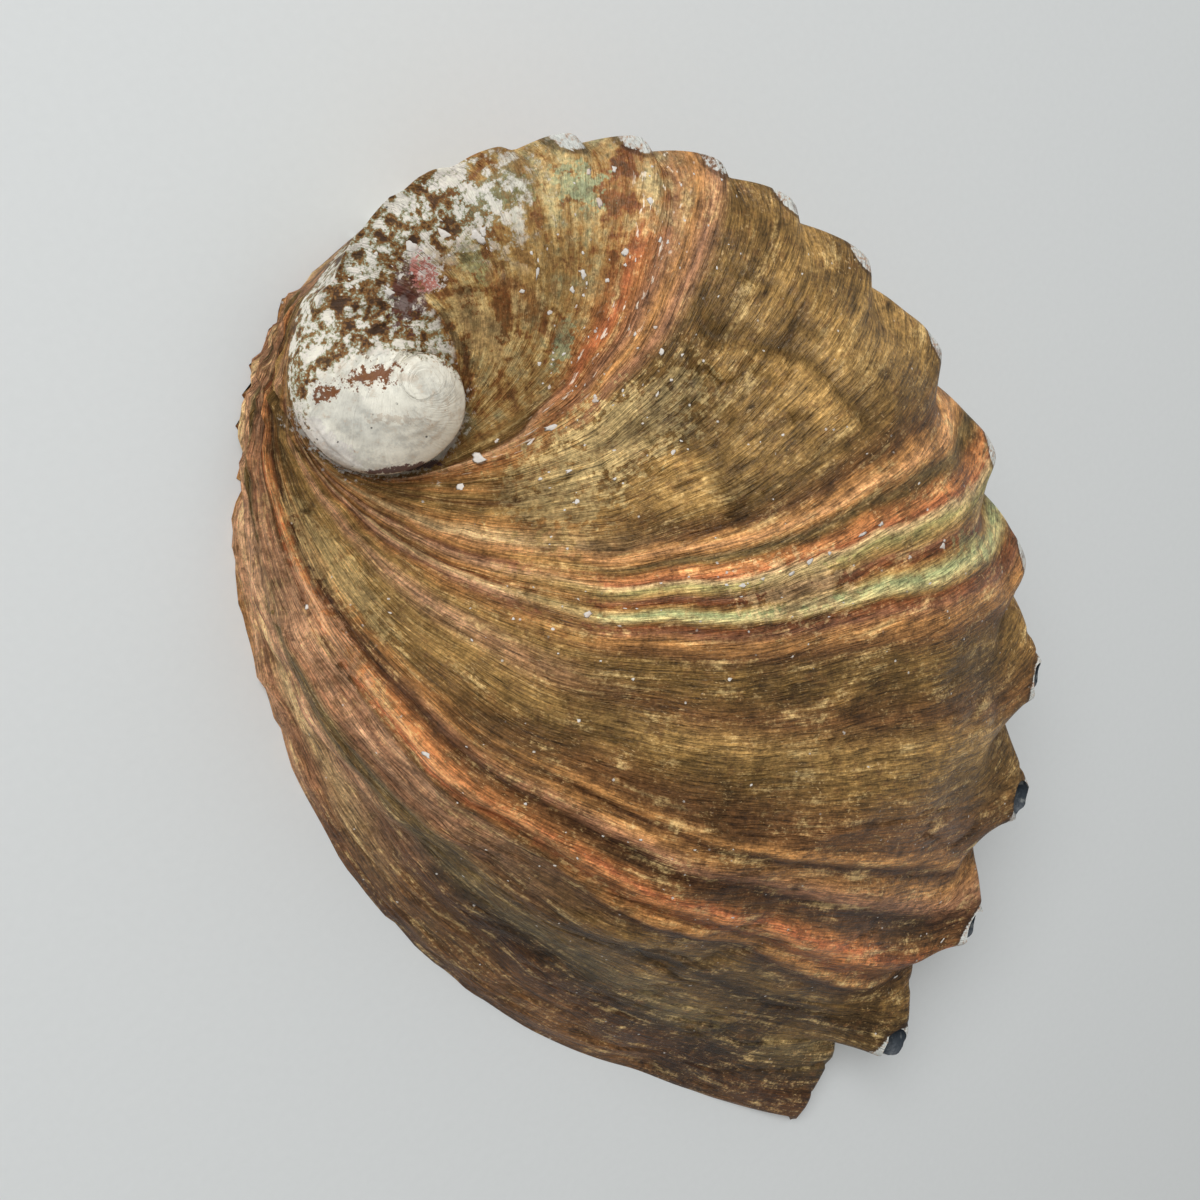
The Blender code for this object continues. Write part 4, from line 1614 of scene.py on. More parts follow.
@dataclass(frozen=True)
class HornCoat:
    """Outside of the shell: banded horn skin, worn crust, pearly spire and blots, with painted shade in its
    fold valleys, on the dome's left and over its front end, and pale flecks that are partly painted glints.
    """

    right_bands: Stops = (
        (-124, Hue.KHAKI), (-119, Hue.TAN), (-115, Hue.RUST), (-111.5, Hue.ORANGE_RED),
        (-109.5, Hue.RUST), (-106.5, Hue.TERRACOTTA), (-103.5, Hue.TAN), (-101, Hue.TERRACOTTA),
        (-98, Hue.OLIVE), (-92, Hue.OLIVE), (-88, Hue.KHAKI), (-84, Hue.OLIVE), (-80, Hue.KHAKI),
        (-73, Hue.KHAKI), (-69, Hue.OLIVE), (-66.2, Hue.BROWN), (-65.0, Hue.TAN), (-63.8, Hue.PEACH),
        (-63.0, Hue.TAN), (-62.1, Hue.GREY_OLIVE), (-61.4, Hue.OLIVE), (-60.7, Hue.RUST),
        (-59.9, Hue.ORANGE), (-59.0, Hue.ORANGE_RED), (-58.4, Hue.CREAM), (-57.6, Hue.PALE_GREEN),
        (-56.4, Hue.KHAKI), (-55.7, Hue.MAUVE), (-54.9, Hue.DARK_RUST), (-54.2, Hue.KHAKI),
        (-53.3, Hue.SEAFOAM), (-52.5, Hue.CREAM_GREEN), (-51.8, Hue.KHAKI), (-51.3, Hue.DARK_RUST),
        (-50.3, Hue.MAUVE), (-49.0, Hue.TAN), (-47.3, Hue.BROWN), (-45.8, Hue.OLIVE), (-43, Hue.OLIVE),
        (-40, Hue.BROWN), (-37, Hue.KHAKI), (-34, Hue.OLIVE), (-30.5, Hue.BROWN), (-28.4, Hue.BROWN),
        (-27.5, Hue.TAN), (-26.6, Hue.DARK_BROWN), (-25.4, Hue.TAN), (-24.0, Hue.TERRACOTTA),
        (-22.8, Hue.DARK_BROWN), (-21.4, Hue.BROWN), (-20.8, Hue.RUST), (-20.2, Hue.ORANGE_RED),
        (-19.7, Hue.ORANGE), (-19.2, Hue.RUST), (-18.4, Hue.DARK_RUST), (-17.7, Hue.TAN),
        (-16.9, Hue.DARK_BROWN), (-15, Hue.OLIVE), (-13, Hue.DARK_OLIVE), (-11, Hue.OLIVE),
        (-9, Hue.GREY_OLIVE), (-7, Hue.DARK_OLIVE), (-5.4, Hue.DARK_BROWN), (-3, Hue.BROWN),
        (0, Hue.DARK_BROWN), (3, Hue.BROWN),
    )
    left_bands: Stops = (
        (-124, Hue.KHAKI), (-117, Hue.OLIVE), (-114, Hue.BROWN), (-112.6, Hue.ROSE_TAN),
        (-110, Hue.PEACH), (-107, Hue.RUST), (-103, Hue.TAN), (-98, Hue.OLIVE), (-91, Hue.TAN),
        (-86, Hue.KHAKI), (-81, Hue.BROWN), (-77, Hue.KHAKI), (-71, Hue.TAN), (-66.6, Hue.CREAM),
        (-64.6, Hue.PEACH), (-62, Hue.TAN), (-60, Hue.MAUVE), (-58.6, Hue.ROSE_TAN), (-56.2, Hue.TAN),
        (-54.8, Hue.DARK_RUST), (-53.2, Hue.CREAM), (-52.0, Hue.ROSE_TAN), (-50.8, Hue.MAUVE),
        (-48.6, Hue.TAN), (-45.4, Hue.KHAKI), (-42, Hue.ROSE_TAN), (-38, Hue.KHAKI), (-34, Hue.KHAKI),
        (-30.5, Hue.OLIVE), (-28, Hue.OLIVE), (-26.2, Hue.TAN), (-24.8, Hue.BROWN),
        (-23.2, Hue.DARK_BROWN), (-21.8, Hue.RUST), (-20.4, Hue.ORANGE), (-19.4, Hue.PEACH),
        (-18.4, Hue.ORANGE_RED), (-17.4, Hue.BROWN), (-16.2, Hue.ROSE_TAN), (-15.0, Hue.TERRACOTTA),
        (-13.8, Hue.ROSE_TAN), (-12.4, Hue.TERRACOTTA), (-11.0, Hue.GREY_OLIVE), (-9.2, Hue.OLIVE),
        (-7.8, Hue.GREY_OLIVE), (-6.6, Hue.ROSE_TAN), (-5.2, Hue.TERRACOTTA), (-3.6, Hue.ROSE_TAN),
        (-1.8, Hue.CREAM), (0.0, Hue.TERRACOTTA), (1.6, Hue.ROSE_TAN), (3.0, Hue.TAN),
        (3.8, Hue.DARK_RUST),
    )
    blots: Sequence[Blot] = (
        Blot((-21.9, 52.0, 14.5), (8.8, 6.5), -30, Hue.IVORY, 1.0, 0.36, 0.1),
        # Slate over the dome's left side: partly its bluish pearl colour and partly painted shade on that
        # side.
        Blot((-26.0, 54.2, 12.5), (2.0, 5.0), 20, Hue.SLATE, 0.2, 0.6),
        Blot((-22.6, 57.2, 15.0), (2.2, 0.9), -10, Hue.DARK_RUST, 1.0, 5.0),
        Blot((-27.2, 57.4, 13.0), (1.0, 0.7), -10, Hue.DARK_RUST, 1.0, 5.0),
        Blot((-22.6, 52.2, 15.4), (2.4, 0.5), -28, Hue.OCHRE, 0.3, 4.0),
        Blot((-28.9, 52.0, 10.6), (1.0, 4.2), 22, Hue.CHALK, 0.8, 2.6, 0.16),
        Blot((-14.9, 47.6, 11.6), (3.4, 0.5), 48, Hue.CHALK, 0.8, 4.0, 0.2),
        Blot((-22.0, 45.9, 11.6), (5.0, 0.5), -20, Hue.MAROON, 0.9, 2.2),
        Blot((-11.6, 56.4, 14.0), (0.4, 5.4), 10, Hue.UMBER, 0.65, 4.0),
        Blot((-14.8, 63.4, 15.6), (1.8, 3.4), -34, Hue.MAROON, 0.8, 3.0),
        Blot((-12.4, 64.5, 16.8), (1.5, 2.0), 6, Hue.CHALK, 0.8, 3.0),
        Blot((-12.8, 64.4, 16.6), (1.2, 1.7), 6, Hue.PINK_RED, 0.9, 2.4),
        Blot((-12.8, 64.4, 16.6), (0.6, 0.9), 6, Hue.CHALK, 0.7, 5.0),
    )
    # Stains of the horn, and at the end two dark blots that are painted shade over the front end.
    stains_and_shade: Sequence[Blot] = (
        Blot((4.2, 66.4, 25.3), (2.0, 2.6), 30, Hue.TURQUOISE, 0.75, 2.4),
        Blot((-3.0, 51.6, 21.4), (0.8, 2.8), -28, Hue.TURQUOISE, 0.65, 2.0),
        Blot((-4.9, 68.6, 21.4), (3.0, 1.5), 0, Hue.TURQUOISE, 0.65, 2.2),
        Blot((-8.0, 63.8, 19.4), (1.1, 3.2), 10, Hue.SEAFOAM, 0.6, 2.2),
        Blot((-1.5, 68.0, 23.0), (1.6, 1.4), 10, Hue.SEAFOAM, 0.6, 2.4),
        Blot((-3.4, 60.5, 22.0), (3.4, 5.0), 10, Hue.KHAKI, 0.6, 2.0),
        Blot((-9.4, 37.4, 24.0), (0.5, 1.2), 30, Hue.SLATE, 0.6, 1.6),
        Blot((31.0, 8.6, 33.6), (5.0, 1.8), -36, Hue.SEAFOAM, 0.55, 1.8),
        Blot((-5.0, 57.0, 19.0), (1.4, 5.0), 24, Hue.DARK_RUST, 0.5, 2.0),
        Blot((-9.2, 56.5, 16.3), (2.0, 5.0), 14, Hue.GOLD, 0.55, 2.0),
        Blot((-2.0, 40.5, 25.0), (9.0, 3.8), 14, Hue.GOLD, 0.85, 2.2),
        Blot((-10.0, 37.4, 20.0), (6.0, 4.6), 10, Hue.GOLD, 0.65, 2.2),
        Blot((-17.0, 28.5, 24.0), (4.0, 6.0), -20, Hue.KHAKI, 0.5, 2.2),
        Blot((4.0, 18.2, 36.0), (6.0, 3.6), -24, Hue.CREAM, 0.55, 2.2),
        Blot((-40.8, 42.0, 9.0), (2.6, 14.0), 6, Hue.ROSE_TAN, 0.7, 1.6),
        Blot((-34.9, 40.5, 11.0), (2.4, 9.0), 4, Hue.GOLD, 0.5, 1.6),
        # Painted shade: these two dark blots darken the front end where shadow falls on it.
        Blot((-19.0, -50.0, 4.0), (14.0, 6.0), 26, Hue.UMBER, 0.75, 2.0),
        Blot((9.0, -47.0, 17.0), (7.0, 11.0), 0, Hue.DARK_OLIVE, 0.5, 2.2),
    )
    old_stain: Stops = (
        (0.0, Hue.DARK_BROWN), (0.32, Hue.BROWN), (0.42, Hue.DARK_RUST), (0.52, Hue.KHAKI), (0.6, Hue.GOLD),
        (0.72, Hue.TURQUOISE),
    )
    crust: Stops = (
        (0.36, Hue.UMBER), (0.42, Hue.DARK_BROWN), (0.46, Hue.OCHRE), (0.49, Hue.GREY_OLIVE),
        (0.52, Hue.CRUST_GREEN), (0.56, Hue.CHALK), (0.66, Hue.IVORY),
    )
    ramp_stops: int = 28
    broad_streaks: Streaks = Streaks(0.7, 0.1, 0.0, 4.0, 0.62)
    fine_striae: Streaks = Streaks(1.9, 0.17, 7.0, 4.0, 0.7, 0.35)
    finest_hairs: Streaks = Streaks(4.4, 0.42, 5.0, 2.0, 0.6, 0.25)
    ragged_edge: Streaks = Streaks(1.3, 0.2, 3.0, 3.0, 0.6)
    drawn_lines: Streaks = Streaks(0.8, 0.04, 13.0, 3.0, 0.7, 0.5)
    pale_flecks: Streaks = Streaks(3.0, 1.6, 11.0, 2.0, 0.6)
    lime_scrapes: Streaks = Streaks(1.5, 0.45, 17.0, 3.0, 0.6)
    left_side: tuple[float, float] = (42.0, 74.0)
    by_row_side: tuple[float, float] = (8.0, 34.0)
    stained_ages: tuple[float, float] = (112.0, 126.0)
    calm_ages: tuple[float, float] = (106.0, 120.0)
    orange_band: tuple[float, float, float, float] = (-116.0, -112.0, -107.0, -103.0)
    crust_ages: tuple[float, float] = (133.0, 149.0)
    crust_side: tuple[float, float] = (12.0, 34.0)
    all_crust_ages: tuple[float, float] = (182.0, 196.0)
    lumpy_ages: tuple[float, float] = (140.0, 180.0)
    dome_ages: tuple[float, float] = (225.0, 265.0)
    line_free_ages: tuple[float, float] = (160.0, 220.0)
    blot_reach: float = 1.12
    blot_ragged: float = 2.2
    blot_depth: float = 1.6
    lightness: float = 1.3
    contrast: float = 1.15
    tint: Colour = (1.5, 1.43, 1.3)
    bump_depth: float = 0.3
    gloss: float = 0.3

    def banded(self, g: Graph, stage: Value, stops: Stops) -> Value:
        """Colour of the bands at a stage, from as many ramps as the stops need.

        Args:
            g: the material's graph.
            stage: stage to read.
            stops: the bands.

        Returns:
            The colour.
        """
        colour = None
        for start in range(0, len(stops) - 1, self.ramp_stops):
            part = stops[start:start + self.ramp_stops + 1]
            low, high = part[0][0], part[-1][0]
            marks = [((at - low) / (high - low), hue) for at, hue in part]
            ramp = g.ramp(marks, (stage - low) / (high - low))
            colour = ramp if colour is None else g.mix(colour, ramp, stage.above(low))
        return colour

    def blot_mask(self, g: Graph, blot: Blot, edge: Value) -> Value:
        """Where one blot lies, from 0 to its strength.

        Args:
            g: the material's graph.
            blot: the blot.
            edge: noise that makes its edge ragged.

        Returns:
            The mask.
        """
        local = g.node(
            "Mapping",
            {"vector_type": "TEXTURE"},
            {"Vector": g.place(), "Location": blot.at, "Rotation": (0.0, 0.0, math.radians(blot.turn)),
             "Scale": (*blot.size, max(blot.size) * self.blot_depth)},
        )
        reach = g.node("VectorMath", {"operation": "LENGTH"}, {0: local}, "Value")
        inside = self.blot_reach - reach + (edge - 0.5) * (self.blot_ragged * blot.ragged)
        return g.rise(inside, 0.0, blot.soft) * blot.strength

    def blotted(self, g: Graph, colour: Value, blots: Sequence[Blot], edge: Value) -> Value:
        """Lay blots over a colour, the first one lowest.

        Args:
            g: the material's graph.
            colour: what lies below.
            blots: the blots.
            edge: noise that makes their edges ragged.

        Returns:
            The colour.
        """
        for blot in blots:
            colour = g.mix(colour, blot.hue, self.blot_mask(g, blot, edge))
        return colour

    def ground(self, g: Graph) -> Ground:
        """Set up the maps and noises that the markings read.

        Args:
            g: the material's graph.

        Returns:
            What varies.
        """
        stage, lead = g.map("growth")
        along, across = g.map("length")
        wear, age = g.map("wear")
        valley, relief = g.map("form")
        point = g.place()
        grain = g.noise(point, 1.9, 4.0, 0.7)
        soft_edge = g.noise(point, 0.9, 5.0, 0.7)
        return Ground(
            stage, lead, along, across, wear, age, valley, relief, point, grain, soft_edge,
            edge=soft_edge * 0.5 + grain * 0.5,
            cloud=g.noise(point, 0.11, 4.0, 0.6),
            mottle=g.noise(point, 0.38, 5.0, 0.66),
            lumps=g.noise(point, 0.8, 6.0, 0.68),
            streak=g.spread(self.broad_streaks.on(g, along, across), 2.0),
            striae=g.spread(self.fine_striae.on(g, along, across), 3.0),
            hairs=g.spread(self.finest_hairs.on(g, along, across), 3.0),
            by_row=1.0 - g.rise(lead, *self.by_row_side),
        )

    def grown_colour(self, g: Graph, on: Ground) -> Value:
        """Growth bands, the rusty and olive streaks of the oldest part, stains, and painted shade over the
        front end.

        Args:
            g: the material's graph.
            on: what varies.

        Returns:
            The colour.
        """
        ragged = self.ragged_edge.on(g, on.along, on.across)
        shifted = on.stage + (ragged - 0.5) + (on.mottle - 0.5) * 0.8 + (on.grain - 0.5) * 0.3
        right = self.banded(g, shifted, self.right_bands)
        left = self.banded(g, shifted, self.left_bands)
        reach = on.lead + (on.cloud - 0.5) * 30.0 + g.rise(on.stage, -26.0, -16.0) * 16.0
        colour = g.mix(right, left, g.rise(reach, *self.left_side))
        old = g.ramp(self.old_stain, (on.mottle * 0.5 + on.cloud * 0.35 + on.streak * 0.15 - 0.5) * 1.9 + 0.5)
        stained = g.rise(on.age + (on.cloud - 0.5) * 14.0 + on.by_row * 12.0, *self.stained_ages)
        colour = g.mix(colour, old, stained * 0.8)
        return self.blotted(g, colour, self.stains_and_shade, on.soft_edge)

    def marked(self, g: Graph, on: Ground, colour: Value) -> Value:
        """Lay mottle, pale gold flecks that are partly painted glints, growth streaks, fine striae, thin dark
        lines and pale flecks over a colour.

        Args:
            g: the material's graph.
            on: what varies.
            colour: what lies below.

        Returns:
            The colour.
        """
        colour = g.mix(colour, Hue.DARK_OLIVE, g.rise(on.cloud * 0.4 + on.mottle * 0.6, 0.5, 0.59) * 0.6)
        colour = g.mix(colour, Hue.BROWN, g.rise(g.noise(on.point, 0.7, 4.0, 0.7), 0.52, 0.62) * 0.4)
        # Pale gold flecks along the streaks: partly the horn's own colour and partly painted glints.
        gilt_and_glints = on.mottle * 0.3 + on.streak * 0.35 + on.grain * 0.35
        colour = g.mix(colour, Hue.GOLD, g.rise(gilt_and_glints, 0.52, 0.68) * 0.5)
        lively = 1.0 - g.rise(on.age + on.by_row * 8.0, *self.calm_ages) * 0.72
        drift = (on.streak - 0.5) * 0.6 + (on.striae - 0.5) * 0.8 + (on.hairs - 0.5) * 0.6
        colour = g.lit(colour, (1.0 + drift * lively).bigger(0.1))
        stipple = g.spread(g.noise(on.point, 3.4, 2.0, 0.6), 2.6)
        patchy = (g.spread(on.grain, 2.4) - 0.5) * 0.4 + (g.spread(on.mottle, 2.8) - 0.5) * 0.85
        colour = g.lit(colour, (1.04 + patchy + (stipple - 0.5) * 0.3).bigger(0.2))
        drawn = self.drawn_lines.on(g, on.along, on.across)
        thin = 1.0 - g.rise((drawn - 0.5).size(), 0.0, 0.016)
        colour = g.lit(colour, 1.0 - thin * g.rise(on.mottle, 0.4, 0.58) * lively * 0.35)
        flecks = g.rise(self.pale_flecks.on(g, on.along, on.across), 0.6, 0.67)
        return g.mix(colour, Hue.CREAM, flecks * g.rise(on.mottle, 0.42, 0.6) * 0.45)

    def scraped(self, g: Graph, on: Ground, colour: Value) -> Value:
        """Lay short scrapes of lime over the oldest orange band.

        Args:
            g: the material's graph.
            on: what varies.
            colour: what lies below.

        Returns:
            The colour.
        """
        start, full, fading, end = self.orange_band
        in_band = g.rise(on.stage, start, full) * (1.0 - g.rise(on.stage, fading, end))
        scrapes = g.rise(self.lime_scrapes.on(g, on.along, on.across), 0.6, 0.66)
        return g.mix(colour, Hue.CHALK, scrapes * in_band * 0.7)

    def cover(self, g: Graph, on: Ground) -> Value:
        """Where lime crust covers the oldest turns, from 0 to 1.

        Args:
            g: the material's graph.
            on: what varies.

        Returns:
            The mask.
        """
        side = on.lead + (on.cloud - 0.5) * 18.0 + (on.mottle - 0.5) * 20.0
        patches = on.lumps + on.mottle - 1.0
        covered = g.rise(on.age + patches * 60.0, *self.crust_ages) * (1.0 - g.rise(side, *self.crust_side))
        return covered.bigger(g.rise(on.age + patches * 30.0, *self.all_crust_ages))

    def crusted(self, g: Graph, on: Ground, colour: Value, covered: Value, pearl: Value) -> Value:
        """Lay lime crust over a colour, with the blots of the spire, its clouded tip and pinholes.

        Args:
            g: the material's graph.
            on: what varies.
            colour: what lies below.
            covered: where crust lies.
            pearl: where the pearly tip lies.

        Returns:
            The colour.
        """
        crust = g.ramp(self.crust, (on.lumps * 0.55 + on.mottle * 0.45 - 0.5) * 1.6 + 0.5)
        colour = self.blotted(g, g.mix(colour, crust, covered * 0.9), self.blots, on.edge)
        shade = g.mix(Hue.SLATE, Hue.OCHRE, g.rise(on.cloud * 0.5 + on.lumps * 0.5, 0.5, 0.56))
        clouded = pearl * g.rise(on.mottle * 0.5 + on.lumps * 0.5, 0.44, 0.6)
        colour = g.mix(colour, shade, clouded * 0.3)
        rusty = g.rise(on.grain * 0.4 + on.lumps * 0.6, 0.6, 0.64)
        colour = g.mix(colour, Hue.OCHRE, pearl * rusty * 0.5)
        holes = g.dots(on.point, 0.62, (on.grain - 0.5) * 0.12, 0.07, 0.12)
        return g.mix(colour, Hue.BLACK, holes * covered * g.rise(on.edge, 0.44, 0.54) * 0.9)

    def worn(self, g: Graph, on: Ground, colour: Value) -> Value:
        """Lay tiny specks of lime and the worn tips of the knobs over a colour.

        Args:
            g: the material's graph.
            on: what varies.
            colour: what lies below.

        Returns:
            The colour.
        """
        specks = g.dots(on.point, 0.5, (on.grain - 0.5) * 0.2, 0.05, 0.09)
        colour = g.mix(colour, Hue.CHALK, specks * g.rise(g.noise(on.point, 0.23, 2.0), 0.5, 0.58) * 0.85)
        colour = g.mix(colour, Hue.UMBER, g.rise(on.wear, 0.04, 0.3) * 0.6)
        tip = g.rise(on.wear + (on.grain - 0.5) * 0.3 + (on.edge - 0.5) * 0.7, 0.5, 0.64)
        plug = g.mix(Hue.ROSE_TAN, Hue.PEARL_GREY, g.rise(on.edge, 0.38, 0.52))
        plug = g.mix(plug, Hue.MAROON, g.rise(on.mottle, 0.54, 0.64) * 0.4)
        return g.mix(colour, plug, tip * 0.9)

    def height(self, g: Graph, on: Ground) -> Value:
        """Height of the growth lines and the crust's lumps.

        A Bump node reads its height three times over, so only maps and four noises feed it.

        Args:
            g: the material's graph.
            on: what varies.

        Returns:
            The height, as a share of the bump's depth.
        """
        fine = on.striae * 0.6 + on.hairs * 0.35 + on.streak * 0.4
        crusty = g.rise(on.age, *self.lumpy_ages) * (1.0 - g.rise(on.age, *self.dome_ages) * 0.85)
        return fine * (1.0 - g.rise(on.age, *self.line_free_ages) * 0.8) + on.lumps * crusty * 1.2

    def make(self) -> bpy.types.Material:
        """Make the material of the outside.

        Returns:
            The material.
        """
        g = Graph("grown_horn")
        on = self.ground(g)
        colour = self.scraped(g, on, self.marked(g, on, self.grown_colour(g, on)))
        # Painted shade: the colour is darkened in the fold valleys and where the relief is low, and lightened
        # on the relief's crests.
        painted_valley_shade = (1.0 - on.valley * 0.3) * (0.76 + g.rise(on.relief, -0.9, 0.9) * 0.48)
        colour = g.tinted(g.deepened(g.lit(colour, painted_valley_shade), self.contrast), self.tint)
        covered, pearl = self.cover(g, on), self.blot_mask(g, self.blots[0], on.edge)
        colour = self.worn(g, on, self.crusted(g, on, colour, covered, pearl))
        rough = 0.36 + on.striae * 0.14 + covered * 0.12 + (on.cloud - 0.5) * 0.25 - pearl * 0.14
        return g.surface(
            {"Base Color": g.lit(colour, self.lightness * (0.86 + on.grain * 0.28)), "Roughness": rough,
             "Normal": g.bump(self.height(g, on), self.bump_depth), "Specular IOR Level": self.gloss}
        )


@dataclass(frozen=True)
class SpoutCoat:
    """Wall of the breathing holes: blue-grey horn darkened as painted shade inside the holes, with pale lime
    at places.
    """

    roughness: float = 0.45
    bump_depth: float = 0.1

    def make(self) -> bpy.types.Material:
        """Make the material of the holes' walls.

        Returns:
            The material.
        """
        g = Graph("spout_wall")
        point = g.place()
        cloud = g.noise(point, 0.5, 3.0, 0.6)
        grain = g.noise(point, 2.4, 3.0, 0.6)
        # Painted shade: dark slate keeps the holes' walls dark as if in shadow, over the horn's blue-grey.
        colour = g.mix(Hue.SLATE, Hue.PEARL_GREY, g.rise(cloud, 0.52, 0.68) * 0.7)
        colour = g.lit(colour, 0.6 + grain * 0.4)
        normal = g.bump(grain, self.bump_depth)
        return g.surface({"Base Color": colour, "Roughness": self.roughness, "Normal": normal})


@dataclass(frozen=True)
class NacreCoat:
    """Inside of the shell: mother-of-pearl with a dark horny edge along the lip."""

    play: Stops = (
        (0.30, (0.62, 0.60, 0.66)), (0.39, (0.36, 0.60, 0.58)), (0.45, (0.66, 0.72, 0.68)),
        (0.50, (0.76, 0.50, 0.60)), (0.55, (0.74, 0.72, 0.66)), (0.60, (0.34, 0.56, 0.66)),
        (0.67, (0.70, 0.60, 0.74)), (0.76, (0.78, 0.76, 0.68)),
    )
    wave_streaks: Streaks = Streaks(0.16, 0.05, 2.0, 4.0, 0.55, 0.8)
    fine_streaks: Streaks = Streaks(0.9, 0.2, 4.0, 3.0, 0.6)
    edge_width: float = 1.1
    roughness: float = 0.22
    metallic: float = 0.45
    bump_depth: float = 0.12

    def make(self) -> bpy.types.Material:
        """Make the material of the inside.

        Returns:
            The material.
        """
        g = Graph("nacre")
        along, across = g.map("length")
        _, age = g.map("wear")
        swirl = g.noise(g.place(), 0.055, 4.0, 0.5, 1.6)
        waves = self.wave_streaks.on(g, along, across)
        fine = self.fine_streaks.on(g, along, across)
        play = g.ramp(self.play, swirl * 0.5 + waves * 0.5 + (fine - 0.5) * 0.12)
        edge = 1.0 - g.rise(age + (fine - 0.5) * 0.6, self.edge_width * 0.6, self.edge_width)
        colour = g.mix(g.lit(play, 0.8 + fine * 0.3), Hue.DARK_BROWN, edge)
        return g.surface(
            {"Base Color": colour, "Metallic": (1.0 - edge) * self.metallic,
             "Roughness": self.roughness + fine * 0.12,
             "Normal": g.bump(fine * 0.5 + waves * 0.5, self.bump_depth)}
        )


@dataclass(frozen=True)
class LimeCoat:
    """Chalky white of the lime chips."""

    roughness: float = 0.7
    bump_depth: float = 0.1

    def make(self) -> bpy.types.Material:
        """Make the material of the chips.

        Returns:
            The material.
        """
        g = Graph("lime")
        point = g.place()
        grain = g.noise(point, 2.2, 3.0, 0.6)
        colour = g.mix(Hue.CHALK, Hue.ROSE_TAN, g.rise(g.noise(point, 0.3), 0.54, 0.64) * 0.4)
        colour = g.lit(colour, 0.95 + grain * 0.35)
        normal = g.bump(grain, self.bump_depth)
        return g.surface({"Base Color": colour, "Roughness": self.roughness, "Normal": normal})


# Lime chips


@dataclass(frozen=True)
class Chip:
    """One lime chip, by its place on the shell, its length and how long it is for its width."""

    stage: float
    lead: float
    length: float
    slender: float = 1.2


